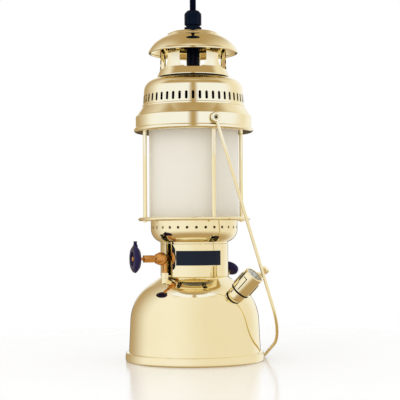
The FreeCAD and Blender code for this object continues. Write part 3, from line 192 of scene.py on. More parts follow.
def hexShape(across, height, chamfer, place=None):
    bm = bmesh.new()
    bmesh.ops.create_circle(bm, cap_ends=True, radius=across / math.sqrt(3), segments=6)
    pushed = bmesh.ops.extrude_face_region(bm, geom=bm.faces[:])
    fresh = [item for item in pushed["geom"] if isinstance(item, bmesh.types.BMVert)]
    bmesh.ops.translate(bm, verts=fresh, vec=(0, 0, height))
    bmesh.ops.recalc_face_normals(bm, faces=bm.faces)
    piece = looseObject(bm)
    edge = across / math.sqrt(3)
    drum = looseObject(turnShape([
        (0, 0), (edge - chamfer, 0), (edge, chamfer * 0.6), (edge, height - chamfer * 0.6),
        (edge - chamfer, height), (0, height),
    ], steps=96))
    carve(piece, drum, "INTERSECT")
    shape = takeShape(piece)
    if place:
        bmesh.ops.transform(shape, matrix=place, verts=shape.verts)
    return shape


def looseObject(bm):
    mesh = bpy.data.meshes.new("shape")
    bm.to_mesh(mesh)
    bm.free()
    thing = bpy.data.objects.new("shape", mesh)
    scene.collection.objects.link(thing)
    return thing


def takeShape(piece):
    # a loose object becomes a shape again
    bm = bmesh.new()
    bm.from_mesh(piece.data)
    bpy.data.objects.remove(piece)
    return bm


def merged(shapes):
    # several shapes become one
    whole = bmesh.new()
    for shape in shapes:
        mesh = bpy.data.meshes.new("shape")
        shape.to_mesh(mesh)
        shape.free()
        whole.from_mesh(mesh)
        bpy.data.meshes.remove(mesh)
    return whole


def settle(piece):
    # the modifiers become the mesh
    fresh = bpy.data.meshes.new_from_object(piece.evaluated_get(bpy.context.evaluated_depsgraph_get()))
    piece.modifiers.clear()
    piece.data = fresh
    return piece


def carve(piece, tool, operation="DIFFERENCE"):
    step = piece.modifiers.new("carve", "BOOLEAN")
    step.operation = operation
    step.solver = "EXACT"
    step.object = tool
    settle(piece)
    bpy.data.objects.remove(tool)


def soften(piece, width, segments=2, limit=35):
    step = piece.modifiers.new("soften", "BEVEL")
    step.width = width
    step.segments = segments
    step.limit_method = "ANGLE"
    step.angle_limit = math.radians(limit)
    step.harden_normals = True
    return piece


def facing(origin, turn, tilt, reach=0, across=(0, 0)):
    # a place whose own Z axis points at a turn from the front and a tilt above level
    spin = turned(turn - 90, "Z") @ turned(90 - tilt, "Y")
    return Matrix.Translation(origin) @ spin @ Matrix.Translation((across[0], across[1], reach))


def compass(turn, radius, height=0):
    angle = math.radians(turn)
    return Vector((radius * math.sin(angle), -radius * math.cos(angle), height))


def addPiece(name, bm, finish, replaced, body="lantern", cutters=(), joined=(), edge=0, sharp=32):
    piece = looseObject(bm)
    piece.name = name
    for tool in joined:
        carve(piece, looseObject(tool), "UNION")
    for tool in cutters:
        carve(piece, looseObject(tool))
    piece.data.name = name
    piece.data.shade_smooth()
    piece.data.set_sharp_from_angle(angle=math.radians(sharp))
    piece.data.materials.clear()
    piece.data.materials.append(finish["material"])
    if edge:
        soften(piece, edge)
    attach(piece, body)
    if replaced:
        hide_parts(*replaced)
    return piece


# ---- materials

def startMaterial(name):
    material = bpy.data.materials.new(name)
    material.use_nodes = True
    tree = material.node_tree
    coordinates = tree.nodes.new("ShaderNodeTexCoord")
    return material, tree, tree.nodes["Principled BSDF"], coordinates.outputs["Object"]


def noiseLayer(tree, place, scale, stretch=(1, 1, 1), detail=3, low=0.35, high=0.65):
    # a noise between 0 and 1, stretched along the axes, with its contrast set by low and high
    mapping = tree.nodes.new("ShaderNodeMapping")
    mapping.inputs["Scale"].default_value = stretch
    noise = tree.nodes.new("ShaderNodeTexNoise")
    noise.inputs["Scale"].default_value = scale
    noise.inputs["Detail"].default_value = detail
    spread = tree.nodes.new("ShaderNodeMapRange")
    spread.inputs["From Min"].default_value = low
    spread.inputs["From Max"].default_value = high
    tree.links.new(place, mapping.inputs["Vector"])
    tree.links.new(mapping.outputs["Vector"], noise.inputs["Vector"])
    tree.links.new(noise.outputs["Fac"], spread.inputs["Value"])
    return spread.outputs["Result"]


def feed(tree, socket, value):
    # another node's output is linked, and anything else becomes the socket's own value
    if isinstance(value, bpy.types.NodeSocket):
        tree.links.new(value, socket)
    else:
        socket.default_value = (*value, 1) if isinstance(value, tuple) else value


def colourBetween(tree, factor, first, second):
    mix = tree.nodes.new("ShaderNodeMix")
    mix.data_type = "RGBA"
    feed(tree, mix.inputs["Factor"], factor)
    feed(tree, mix.inputs["A"], first)
    feed(tree, mix.inputs["B"], second)
    return mix.outputs["Result"]


def valueBetween(tree, factor, low, high):
    spread = tree.nodes.new("ShaderNodeMapRange")
    feed(tree, spread.inputs["Value"], factor)
    feed(tree, spread.inputs["To Min"], low)
    feed(tree, spread.inputs["To Max"], high)
    return spread.outputs["Result"]


def bumpFrom(tree, height, strength, distance, under=None):
    bump = tree.nodes.new("ShaderNodeBump")
    bump.inputs["Strength"].default_value = strength
    bump.inputs["Distance"].default_value = distance
    tree.links.new(height, bump.inputs["Height"])
    if under:
        tree.links.new(under, bump.inputs["Normal"])
    return bump.outputs["Normal"]


def faceInwards(tree, place):
    # 1 where a face looks at the lantern's own axis, 0 where it looks away from it
    flatPlace = tree.nodes.new("ShaderNodeVectorMath")
    flatPlace.operation = "MULTIPLY"
    flatPlace.inputs[1].default_value = (1, 1, 0)
    tree.links.new(place, flatPlace.inputs[0])
    outward = tree.nodes.new("ShaderNodeVectorMath")
    outward.operation = "NORMALIZE"
    tree.links.new(flatPlace.outputs["Vector"], outward.inputs[0])
    lean = tree.nodes.new("ShaderNodeVectorMath")
    lean.operation = "DOT_PRODUCT"
    tree.links.new(outward.outputs["Vector"], lean.inputs[0])
    tree.links.new(tree.nodes["Texture Coordinate"].outputs["Normal"], lean.inputs[1])
    spread = tree.nodes.new("ShaderNodeMapRange")
    spread.inputs["From Min"].default_value = -0.15
    spread.inputs["From Max"].default_value = -0.45
    tree.links.new(lean.outputs["Value"], spread.inputs["Value"])
    return spread.outputs["Result"]


def makeMetal(slot, colour, tarnish, roughness, lines=0.25, waves=0.15, grain=0.0, linesAlong=(1, 1, 220), inside=None):
    # polished or turned metal: slow waves of the sheet, fine lines round it and a little tarnish
    material, tree, shader, place = startMaterial(slot)
    cloud = noiseLayer(tree, place, 14, detail=4)
    fine = noiseLayer(tree, place, 6, linesAlong, detail=5)
    shader.inputs["Metallic"].default_value = 1
    tone = colourBetween(tree, cloud, colour, tarnish)
    dullness = valueBetween(tree, fine, *roughness)
    # painted shade: faces that look at the lantern's axis take the inside colour and a duller finish
    if inside:
        inward = faceInwards(tree, place)
        tone = colourBetween(tree, inward, tone, inside)
        dullness = valueBetween(tree, inward, dullness, 0.5)
    tree.links.new(tone, shader.inputs["Base Color"])
    tree.links.new(dullness, shader.inputs["Roughness"])
    normal = bumpFrom(tree, noiseLayer(tree, place, 22, detail=1), waves, 0.0006)
    normal = bumpFrom(tree, fine, lines, 0.00002, normal)
    if grain:
        normal = bumpFrom(tree, noiseLayer(tree, place, 1400, detail=2), grain, 0.0001, normal)
    tree.links.new(normal, shader.inputs["Normal"])
    return {"slot": slot, "material": material}


def makePlastic(slot, colour, faded, roughness, grain=0.1, scale=1800, coat=0.0, ior=1.5):
    material, tree, shader, place = startMaterial(slot)
    cloud = noiseLayer(tree, place, 30, detail=3)
    fine = noiseLayer(tree, place, scale, detail=2)
    tree.links.new(colourBetween(tree, cloud, colour, faded), shader.inputs["Base Color"])
    tree.links.new(valueBetween(tree, cloud, *roughness), shader.inputs["Roughness"])
    tree.links.new(bumpFrom(tree, fine, grain, 0.0001), shader.inputs["Normal"])
    shader.inputs["Coat Weight"].default_value = coat
    shader.inputs["Coat Roughness"].default_value = 0.12
    shader.inputs["IOR"].default_value = ior
    return {"slot": slot, "material": material}


def makeFrost(slot, colour, cloudy, roughness, transmission, ior=1.45):
    material, tree, shader, place = startMaterial(slot)
    cloud = noiseLayer(tree, place, 18, detail=3)
    fine = noiseLayer(tree, place, 2600, detail=2)
    tree.links.new(colourBetween(tree, cloud, colour, cloudy), shader.inputs["Base Color"])
    tree.links.new(valueBetween(tree, cloud, *roughness), shader.inputs["Roughness"])
    tree.links.new(bumpFrom(tree, fine, 0.12, 0.00005), shader.inputs["Normal"])
    shader.inputs["Transmission Weight"].default_value = transmission
    shader.inputs["IOR"].default_value = ior
    return {"slot": slot, "material": material}


brassLook = {
    "slot": "polished_brass", "colour": (0.925, 0.835, 0.575), "tarnish": (0.905, 0.80, 0.52),
    "roughness": (0.03, 0.07), "lines": 0.05, "waves": 0.08,
}
polishedBrass = makeMetal(**brassLook)
# brass for the vent dome, darkened on its inward faces as painted shade so the slots read dark
insideShadedBrass = makeMetal(**brassLook, inside=(0.035, 0.024, 0.012))
copperBrass = makeMetal(
    "copper_brass", (0.76, 0.39, 0.12), (0.62, 0.28, 0.075), (0.16, 0.32), lines=0.4, waves=0.3, grain=0.25
)
dullBrass = makeMetal("dull_brass", (0.70, 0.55, 0.27), (0.58, 0.43, 0.2), (0.25, 0.42), lines=0.5)
capMetal = makeMetal("lamp_cap_metal", (0.8, 0.8, 0.8), (0.68, 0.68, 0.68), (0.25, 0.4))
zincSteel = makeMetal("bracket_steel", (0.6, 0.6, 0.6), (0.48, 0.49, 0.5), (0.35, 0.55), grain=0.3)
bluePlastic = makePlastic("blue_plastic", (0.009, 0.006, 0.052), (0.015, 0.01, 0.064), (0.2, 0.38), 0.06, ior=1.25)
badgeEnamel = makePlastic("badge_enamel", (0.004, 0.009, 0.02), (0.007, 0.013, 0.027), (0.12, 0.2), 0.03, ior=1.25)
blackPlastic = makePlastic("black_plastic", (0.0, 0.004, 0.016), (0.002, 0.008, 0.024), (0.28, 0.42), 0.16, ior=1.15)
stemPaint = makePlastic("stem_paint", (0.0, 0.003, 0.012), (0.002, 0.005, 0.018), (0.25, 0.4), 0.08, ior=1.2)
holderPlastic = makePlastic("holder_plastic", (0.012, 0.012, 0.012), (0.02, 0.02, 0.02), (0.25, 0.4), ior=1.3)
cordRubber = makePlastic("cord_rubber", (0.0, 0.001, 0.008), (0.001, 0.003, 0.012), (0.34, 0.5), 0.12, 900, ior=1.1)
# black rubber for the filler gasket; the same dark material also serves as painted shade in gaps, bores and grooves
blackRubberAndShade = makePlastic("black_rubber", (0.006, 0.006, 0.006), (0.012, 0.012, 0.012), (0.55, 0.75), 0.2, ior=1.25)
dialPaint = makePlastic("dial_paint", (0.62, 0.62, 0.6), (0.55, 0.55, 0.53), (0.4, 0.5), grain=0.03)
pumpLeather = makePlastic("pump_leather", (0.12, 0.06, 0.03), (0.07, 0.035, 0.015), (0.5, 0.8), grain=0.5, scale=900)
frostedGlass = makeFrost("frosted_glass", (0.955, 0.905, 0.79), (0.93, 0.88, 0.765), (0.42, 0.52), 0.12)
lampGlass = makeFrost("lamp_glass", (0.9, 0.87, 0.78), (0.86, 0.83, 0.74), (0.3, 0.4), 0.3)
clearGlass = makeFrost("clear_glass", (0.95, 0.97, 0.95), (0.93, 0.96, 0.93), (0.02, 0.06), 0.95)
print("materials made")


# ---- cord, straight up to its ceiling rose

cordSetup = {"radius": 0.0038, "length": 0.17, "pointCount": 5}
cordExit = Vector((0, 0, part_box("cord")[0].z))

line = bpy.data.curves.new("cordLine", "CURVE")
line.dimensions = "3D"
line.bevel_depth = cordSetup["radius"]
line.bevel_resolution = 8
line.resolution_u = 12
line.use_fill_caps = True
spline = line.splines.new("NURBS")
spline.points.add(cordSetup["pointCount"] - 1)
for index, point in enumerate(spline.points):
    height = cordExit.z + cordSetup["length"] * index / (cordSetup["pointCount"] - 1)
    point.co = (0, 0, height, 1)
spline.order_u = 3
spline.use_endpoint_u = True
line.materials.append(cordRubber["material"])
cord = bpy.data.objects.new("hangingCord", line)
scene.collection.objects.link(cord)
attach(cord, "lantern")
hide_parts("cord")


# ---- foot and tank

foot = {"radius": 0.0845, "topRadius": 0.0834, "inside": 0.0808, "height": 0.011, "rounding": 0.0022}
tank = {
    "radius": 0.0806, "bottom": 0.0015, "taper": 2.7, "wall": 0.001,
    "bend": 0.055, "bendHeight": 0.0472, "slope": 55.0, "mouth": 0.039,
}

addPiece("footBand", turnShape([
    (foot["inside"], 0.0002),
    (foot["radius"] - 0.0004, 0.0, foot["rounding"]),
    (foot["radius"], foot["height"] * 0.5, 0.004),
    (foot["topRadius"], foot["height"], foot["rounding"]),
    (foot["inside"] - 0.0006, foot["height"]),
]), polishedBrass, ["foot_band"])


def tankPoint(radius, angle):
    wallTop = tank["bendHeight"] + tank["bend"] * sine(tank["taper"])
    atTop = tank["radius"] - (wallTop - tank["bottom"]) * tangent(tank["taper"])
    centre = atTop - tank["bend"] * cosine(tank["taper"])
    return (centre + radius * cosine(angle),
            tank["bendHeight"] + radius * sine(angle))


bendCentre = tankPoint(0, 0)
inBend = tank["bend"] - tank["wall"]
coneStart = tankPoint(tank["bend"], tank["slope"])
mouthHeight = coneStart[1] + (coneStart[0] - tank["mouth"]) / tangent(tank["slope"])
innerMouth = (tank["mouth"] - tank["wall"] * cosine(tank["slope"]),
              mouthHeight - tank["wall"] * sine(tank["slope"]))
bendTurn = tank["slope"] - tank["taper"]
addPiece("tankBell", turnShape([
    (tank["radius"], tank["bottom"]),
    tankPoint(tank["bend"], tank["taper"]),
    (*bendCentre, bendTurn, 24),
    (tank["mouth"], mouthHeight),
    innerMouth,
    tankPoint(inBend, tank["slope"]),
    (*bendCentre, -bendTurn, 24),
    (tank["radius"] - tank["wall"], tank["bottom"]),
], steps=160), polishedBrass, ["tank_bell"])

plateLow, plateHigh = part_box("tank_top_plate")
addPiece("tankTopPlate", turnShape([
    (0, plateLow.z),
    (tank["mouth"] - tank["wall"], plateLow.z),
    (tank["mouth"] - tank["wall"], mouthHeight),
    (plateHigh.x, mouthHeight),
    (plateHigh.x, plateHigh.z, 0.0004),
    (0.012, plateHigh.z),
    (0.011, plateHigh.z - 0.0004),
    (0, plateHigh.z - 0.0004),
]), polishedBrass, ["tank_top_plate"])
print("tank made")


# ---- collar, gallery cup and gallery ring

collar = {
    "radius": 0.0412, "wall": 0.0012, "gapTurn": -47.0, "gapWidth": 0.0105, "gapHeight": 0.051,
    "gapRounding": 0.0025, "seamTurn": 38.5, "seamWidth": 0.0004,
}
cup = {
    "radius": 0.0528, "bend": 0.0167, "shoulder": 0.018, "holeRadius": 0.0017, "holeCount": 30,
    "holeDrop": 0.0096, "holeTurn": 3.2, "lugTurn": 30.5, "lugWidth": 0.011, "lugHeight": 0.0075, "lugRise": 0.0059,
}
collarLow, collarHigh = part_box("collar")
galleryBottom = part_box("gallery_ring")[0].z + 0.0016


def gapCutter():
    low = collarLow.z - 0.001
    corners = rectangle(collar["gapWidth"], collar["gapHeight"] + 0.001, low)
    bm = prismShape(corners, -0.08)
    tops = [edge for edge in bm.edges if all(v.co.z > low + 0.01 for v in edge.verts)
            and abs(edge.verts[0].co.x - edge.verts[1].co.x) < 1e-6]
    bmesh.ops.bevel(
        bm, geom=tops, affect="EDGES", offset=collar["gapRounding"], segments=6, profile=0.5, material=-1
    )
    gapTurn = Matrix.Rotation(math.radians(collar["gapTurn"]), 3, "Z")
    bmesh.ops.rotate(bm, verts=bm.verts, cent=(0, 0, 0), matrix=gapTurn)
    return bm


collarInside = collar["radius"] - collar["wall"]
seam = prismShape(
    rectangle(collar["seamWidth"], 0.06, collarLow.z - 0.01), -0.002,
    place=turned(collar["seamTurn"], "Z") @ Matrix.Translation((0, -collar["radius"] + 0.0003, 0)),
)
addPiece("collar", turnShape([
    (collarInside, collarLow.z),
    (collar["radius"], collarLow.z, 0.0003),
    (collar["radius"], collarHigh.z - 0.0002, 0.0002),
    (collarInside, collarHigh.z - 0.0002),
], steps=160), polishedBrass, ["collar"], cutters=[gapCutter(), seam])

cupMiddle = cup["radius"] - cup["bend"]
cupShoulder = collarHigh.z + cup["shoulder"]
outerStart = arcCosine((collar["radius"] - cupMiddle) / cup["bend"])
innerBend = cup["bend"] - collar["wall"]
innerStart = arcCosine((collarInside - cupMiddle) / innerBend)
lugHole = prismShape(
    rectangle(cup["lugWidth"], cup["lugHeight"]), 0.03, rounding=0.0012,
    place=turned(cup["lugTurn"], "Z")
    @ Matrix.Translation((0, -0.06, collarHigh.z + cup["lugRise"])),
)
hole = turnShape(
    section(0, cup["holeRadius"], 0, 0.012), steps=18,
    place=facing((0, 0, galleryBottom - cup["holeDrop"]), cup["holeTurn"], 0, 0.045),
)
addPiece("galleryCup", turnShape([
    (collarInside, collarHigh.z),
    (collar["radius"], collarHigh.z, 0.0002),
    (collar["radius"], cupShoulder - cup["bend"] * sine(outerStart)),
    (cupMiddle, cupShoulder, outerStart, 16),
    (cup["radius"], galleryBottom),
    (cup["radius"] - collar["wall"], galleryBottom),
    (cup["radius"] - collar["wall"], cupShoulder),
    (cupMiddle, cupShoulder, -innerStart, 16),
], steps=180), polishedBrass, ["gallery_cup"], cutters=[repeatAround(hole, cup["holeCount"]), gapCutter(), lugHole])

gallery = {"inside": 0.050, "bead": 0.0022, "beadRadius": 0.0658, "web": 0.0012}
beadHeight = galleryBottom + gallery["web"] / 2
beadStart = math.degrees(math.asin(gallery["web"] / 2 / gallery["bead"]))
webEnd = gallery["beadRadius"] - gallery["bead"] * cosine(beadStart)
addPiece("galleryRing", turnShape([
    (gallery["inside"], galleryBottom),
    (webEnd, galleryBottom),
    (gallery["beadRadius"], beadHeight, 360 - 2 * beadStart, 20),
    (gallery["inside"], galleryBottom + gallery["web"]),
], steps=160), polishedBrass, ["gallery_ring"])
print("collar, cup and gallery made")


# ---- posts, nuts and glass

post = {
    "radius": 0.0024, "stud": 0.0015, "circle": 0.063, "turn": 22.0, "nutAcross": 0.0055, "nutHeight": 0.0026,
    "nutChamfer": 0.0005,
}
galleryTop = galleryBottom + gallery["web"]
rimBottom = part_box("rim_ring")[0].z
postNames = ("post_front_right", "post_back_right", "post_back_left", "post_front_left")
for index, nodeName in enumerate(postNames):
    low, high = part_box(nodeName)
    spot = compass(post["turn"] + 90 * index, post["circle"])
    addPiece("post" + str(index + 1), turnShape([
        (0, low.z), (post["stud"], low.z, 0.0004), (post["stud"], galleryTop),
        (post["radius"], galleryTop, 0.0003), (post["radius"], rimBottom, 0.0003),
        (post["stud"], rimBottom), (post["stud"], high.z, 0.0005), (0, high.z),
    ], steps=40, place=Matrix.Translation(spot)), polishedBrass, [nodeName])

nuts = []
for index in range(len(postNames)):
    spot = compass(post["turn"] + 90 * index, post["circle"], galleryBottom - post["nutHeight"])
    nuts.append(hexShape(post["nutAcross"], post["nutHeight"], post["nutChamfer"], Matrix.Translation(spot)))
addPiece("postNuts", merged(nuts), polishedBrass, ["post_nuts"])

glass = {"radius": 0.0545, "wall": 0.003}
glassLow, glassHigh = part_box("glass_cylinder")
addPiece("glassCylinder", turnShape([
    (glass["radius"] - glass["wall"], glassLow.z, 0.0012), (glass["radius"], glassLow.z, 0.0012),
    (glass["radius"], glassHigh.z, 0.0012), (glass["radius"] - glass["wall"], glassHigh.z, 0.0012),
], steps=128), frostedGlass, ["glass_cylinder"])
print("frame and glass made")


# ---- rim ring with its pivots

rim = {
    "inside": 0.0552, "wall": 0.0012, "lip": 0.0728, "bead": 0.003, "band": 0.0708, "bandHeight": 0.0189,
    "cornerDrop": 0.0013, "cornerRise": 0.0012, "topRadius": 0.0626, "flange": 0.0046,
}
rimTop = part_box("rim_ring")[1].z
lipMiddle = rim["lip"] - rim["bead"]
lipTurn = 90 + arcCosine((rim["band"] - lipMiddle) / rim["bead"])
bandTop = rimBottom + rim["bandHeight"]
addPiece("rimRing", turnShape([
    (rim["inside"], rimBottom, 0.0003),
    (lipMiddle, rimBottom),
    (lipMiddle, rimBottom + rim["bead"], lipTurn, 14),
    (rim["band"], bandTop, 0.0016),
    (rim["band"] - rim["cornerDrop"], bandTop + rim["cornerRise"], 0.002),
    (rim["topRadius"], rimTop, 0.0008),
    (rim["topRadius"] - rim["flange"], rimTop),
    (rim["topRadius"] - rim["flange"], rimTop - rim["wall"]),
    (rim["topRadius"] - rim["wall"], rimTop - rim["wall"]),
    (rim["band"] - rim["cornerDrop"] - rim["wall"], bandTop + rim["cornerRise"]),
    (rim["band"] - rim["wall"], bandTop),
    (rim["band"] - rim["wall"], rimBottom + rim["wall"], 0.0006),
    (rim["inside"], rimBottom + rim["wall"], 0.0003),
], steps=160), polishedBrass, ["rim_ring"])

pivot = {
    "height": 0.289608, "turn": 20.5, "radius": 0.00225, "spacer": 0.005, "head": 0.0042, "headHeight": 0.0018,
    "bore": 0.00185, "point": 0.0005, "boreDepth": 0.0034, "pointDepth": 0.0012, "plug": 0.00055, "plugDepth": 0.0033,
    "spacerShade": 0.0001,
}
bail = {
    "leg": 0.075, "wire": 0.0019, "eyeWire": 0.002, "shoulder": 0.2692, "pitch": 24.0, "bend": 0.055,
    "peakBend": 0.012, "lean": 17.7, "gap": 0.0003, "recess": 0.0008,
}
eyeIn = bail["leg"] - bail["eyeWire"] - bail["gap"]
pinEnd = bail["leg"] + bail["eyeWire"] - bail["recess"]
headIn = math.sqrt((rim["band"] - rim["wall"]) ** 2 - pivot["head"] ** 2)
pivotPlaces = [facing((0, 0, pivot["height"]), pivot["turn"] + side, 0) for side in (0, 180)]
pins = [
    turnShape([
        (0, headIn - pivot["headHeight"]),
        (pivot["head"], headIn - pivot["headHeight"], 0.0008),
        (pivot["head"], headIn),
        (pivot["radius"], headIn),
        (pivot["radius"], rim["band"]),
        (pivot["spacer"], rim["band"]),
        (pivot["spacer"], eyeIn, 0.0004),
        (pivot["radius"], eyeIn),
        (pivot["radius"], pinEnd, 0.0001),
        (pivot["bore"], pinEnd),
        (pivot["bore"] - 0.0002, pinEnd - pivot["boreDepth"]),
        (pivot["point"], pinEnd - pivot["boreDepth"]),
        (pivot["point"], pinEnd - pivot["pointDepth"], 0.0003),
        (0, pinEnd - pivot["pointDepth"]),
    ], steps=48, place=place)
    for place in pivotPlaces
]
addPiece("bailPivots", merged(pins), polishedBrass, ["bail_pivots"])

# painted shade: each pin's bore holds a dark ring round a bright point in its middle, and its spacer has a thin dark
# sleeve, both standing in for shade
plugs = []
for place in pivotPlaces:
    plugs.append(turnShape([
        (pivot["spacer"], rim["band"] + pivot["spacerShade"]),
        (pivot["spacer"] + pivot["spacerShade"], rim["band"] + pivot["spacerShade"]),
        (pivot["spacer"] + pivot["spacerShade"], eyeIn - pivot["spacerShade"]),
        (pivot["spacer"], eyeIn - pivot["spacerShade"]),
        (pivot["spacer"], rim["band"] + pivot["spacerShade"]),
    ], steps=40, place=place))
    plugs.append(turnShape([
        (pivot["plug"], pinEnd - pivot["plugDepth"]),
        (pivot["bore"] - 0.00005, pinEnd - pivot["plugDepth"]),
        (pivot["bore"] - 0.00005, pinEnd - 0.0003, 0.0001),
        (pivot["plug"], pinEnd - 0.0005),
        (pivot["plug"], pinEnd - pivot["plugDepth"]),
    ], steps=40, place=place))
addPiece("pinShades", merged(plugs), blackRubberAndShade, [])


# ---- bail: a wire bent at four corners, with an eye at each end

def bentWire(name, corners, wireRadius):
    # corners are points with the radius of their bend; each bend is one Bezier arc
    curve = bpy.data.curves.new(name, "CURVE")
    curve.dimensions = "3D"
    curve.bevel_depth = wireRadius
    curve.bevel_resolution = 7
    curve.resolution_u = 20
    curve.use_fill_caps = True
    stops = []
    for before, (corner, radius), after in zip(corners, corners[1:], corners[2:]):
        inward = (before[0] - corner).normalized()
        outward = (after[0] - corner).normalized()
        turn = math.pi - inward.angle(outward)
        cut = radius * math.tan(turn / 2)
        pull = radius * math.tan(turn / 4) * 4 / 3
        stops.append((corner + inward * cut, None, corner + inward * (cut - pull)))
        stops.append((corner + outward * cut, corner + outward * (cut - pull), None))
    stops = [(corners[0][0], None, None), *stops, (corners[-1][0], None, None)]
    spline = curve.splines.new("BEZIER")
    spline.bezier_points.add(len(stops) - 1)
    for point, (place, left, right) in zip(spline.bezier_points, stops):
        point.handle_left_type = point.handle_right_type = "FREE"
        point.co = place
        point.handle_left = left or place
        point.handle_right = right or place
    thing = bpy.data.objects.new(name, curve)
    scene.collection.objects.link(thing)
    mesh = bpy.data.meshes.new_from_object(thing.evaluated_get(bpy.context.evaluated_depsgraph_get()))
    bpy.data.objects.remove(thing)
    bm = bmesh.new()
    bm.from_mesh(mesh)
    bmesh.ops.remove_doubles(bm, verts=bm.verts, dist=2e-6)
    bmesh.ops.recalc_face_normals(bm, faces=bm.faces)
    return bm


eyeMiddle = pivot["radius"] + 0.00005 + bail["eyeWire"]
pitch = math.radians(bail["pitch"])
peak = bail["shoulder"] + bail["leg"] * math.tan(pitch)
lean = (
    Matrix.Translation((0, 0, pivot["height"]))
    @ turned(pivot["turn"] - 90, "Z")
    @ turned(bail["lean"], "X")
)
wire = bentWire("bailWire", [
    (Vector((bail["leg"], 0, -eyeMiddle)), 0),
    (Vector((bail["leg"], 0, -bail["shoulder"])), bail["bend"]),
    (Vector((0, 0, -peak)), bail["peakBend"]),
    (Vector((-bail["leg"], 0, -bail["shoulder"])), bail["bend"]),
    (Vector((-bail["leg"], 0, -eyeMiddle)), 0),
], bail["wire"])
bmesh.ops.transform(wire, matrix=lean, verts=wire.verts)
eyes = []
for side in (1, -1):
    along = Matrix.Translation((side * bail["leg"], 0, 0)) @ turned(90, "Y")
    eyes.append(turnShape([
        (eyeMiddle + bail["eyeWire"], 0), (eyeMiddle, 0, 359.9, 24),
    ], steps=64, place=lean @ along))
addPiece("bail", wire, polishedBrass, ["bail"], body="bail", joined=eyes, sharp=60)
print("rim, pivots and bail made")


# ---- hood: vent dome, windowed neck, brim and cap

dome = {
    "radius": 0.0617, "topRadius": 0.045, "wall": 0.0012, "bend": 0.0154, "shoulder": 0.0192, "mouth": 0.0406,
    "bead": 0.0009, "beadHeight": 0.0024, "slotCount": 48, "slotWidth": 0.0032, "slotHeight": 0.0099,
    "slotRise": 0.0094,
}
domeLow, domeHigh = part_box("vent_dome")
bendLow = domeLow.z + dome["shoulder"]
shoulderRadius = dome["topRadius"] + dome["bend"]
slot = prismShape(
    rectangle(dome["slotWidth"], dome["slotHeight"]), 0.008, rounding=dome["slotWidth"] * 0.499,
    place=Matrix.Translation((0, -dome["radius"] - 0.004, domeLow.z + dome["slotRise"])),
)
addPiece("ventDome", turnShape([
    (dome["radius"] - dome["wall"], domeLow.z),
    (dome["radius"] + dome["bead"], domeLow.z, 0.0004),
    (dome["radius"] + dome["bead"], domeLow.z + dome["beadHeight"] - dome["bead"] * 0.6, 0.0007),
    (dome["radius"], domeLow.z + dome["beadHeight"], 0.0004),
    (shoulderRadius, bendLow),
    (dome["topRadius"], bendLow, 90, 18),
    (dome["mouth"], domeHigh.z, 0.0003),
    (dome["mouth"], domeHigh.z - dome["wall"]),
    (dome["topRadius"], domeHigh.z - dome["wall"]),
    (dome["topRadius"], bendLow, -90, 18),
], steps=192), insideShadedBrass, ["vent_dome"], cutters=[repeatAround(slot, dome["slotCount"])])

neck = {
    "radius": 0.0404, "wall": 0.0012, "spigot": 0.005, "skirt": 0.0439, "skirtGap": 0.0022, "skirtEdge": 0.001,
    "skirtHollow": 0.0026, "skirtHeight": 0.0118, "ventCount": 5, "ventWidth": 0.032, "ventSill": 0.0108,
    "ventHeight": 0.0272, "ventRounding": 0.01,
}
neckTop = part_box("hood_neck")[1].z
skirtLow = domeHigh.z + neck["skirtGap"]
ventLow = domeHigh.z + neck["ventSill"]
window = prismShape(rectangle(neck["ventWidth"], neck["ventHeight"], ventLow), -0.03,
                    place=Matrix.Translation((0, -0.02, 0)))
sills = [edge for edge in window.edges if all(v.co.z < ventLow + 1e-5 for v in edge.verts)
         and abs(edge.verts[0].co.x - edge.verts[1].co.x) < 1e-6]
bmesh.ops.bevel(
    window, geom=sills, affect="EDGES", offset=neck["ventRounding"], segments=8, profile=0.5, material=-1
)
addPiece("hoodNeck", turnShape([
    (neck["radius"] - neck["wall"], domeHigh.z - neck["spigot"]),
    (neck["radius"], domeHigh.z - neck["spigot"]),
    (neck["radius"], skirtLow + neck["skirtHollow"]),
    (neck["skirt"] - neck["skirtEdge"], skirtLow, 0.0003),
    (neck["skirt"], skirtLow, 0.0004),
    (neck["skirt"], skirtLow + neck["skirtEdge"], 0.0008),
    (neck["radius"], domeHigh.z + neck["skirtHeight"], 0.006),
    (neck["radius"], neckTop),
    (neck["radius"] - neck["wall"], neckTop),
], steps=160), polishedBrass, ["hood_neck"], cutters=[repeatAround(window, neck["ventCount"])])

# painted shade: a black ring fills the hollow under the neck's skirt, standing in for the shade in that gap
neck["felt"] = neck["skirt"] - 0.0016
addPiece("skirtGapShade", turnShape([
    (neck["radius"] + 0.00005, domeHigh.z + 0.00005),
    (neck["felt"], domeHigh.z + 0.00005),
    (neck["felt"], skirtLow),
    (neck["radius"] + 0.00005, skirtLow + neck["skirtHollow"] * 0.5),
    (neck["radius"] + 0.00005, domeHigh.z + 0.00005),
], steps=120), blackRubberAndShade, [])

brim = {"bend": 0.0348, "centre": 0.0226, "wall": 0.0012, "beadRadius": 0.053, "beadRise": 0.0135, "mouth": 0.031}
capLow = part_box("hood_brim")[1].z
brimHeight = capLow - math.sqrt(brim["bend"] ** 2 - (brim["mouth"] - brim["centre"]) ** 2)
mouthAngle = arcCosine((brim["mouth"] - brim["centre"]) / brim["bend"])
beadReach = math.hypot(brim["beadRadius"] - brim["centre"], brim["beadRise"])
beadAngle = math.degrees(math.atan2(brim["beadRise"], brim["beadRadius"] - brim["centre"]))
beadWire = brim["bend"] - beadReach
insideBend = brim["bend"] - brim["wall"]
meeting = arcCosine(
    (insideBend ** 2 + beadReach ** 2 - beadWire ** 2) / (2 * insideBend * beadReach)
)
meetingAngle = beadAngle + meeting
meetingPoint = (brim["centre"] + insideBend * cosine(meetingAngle),
                brimHeight + insideBend * sine(meetingAngle))
aroundBead = math.degrees(math.atan2(
    meetingPoint[1] - brimHeight - brim["beadRise"], meetingPoint[0] - brim["beadRadius"]
))
innerMouthAngle = arcCosine((brim["mouth"] - brim["centre"]) / insideBend)
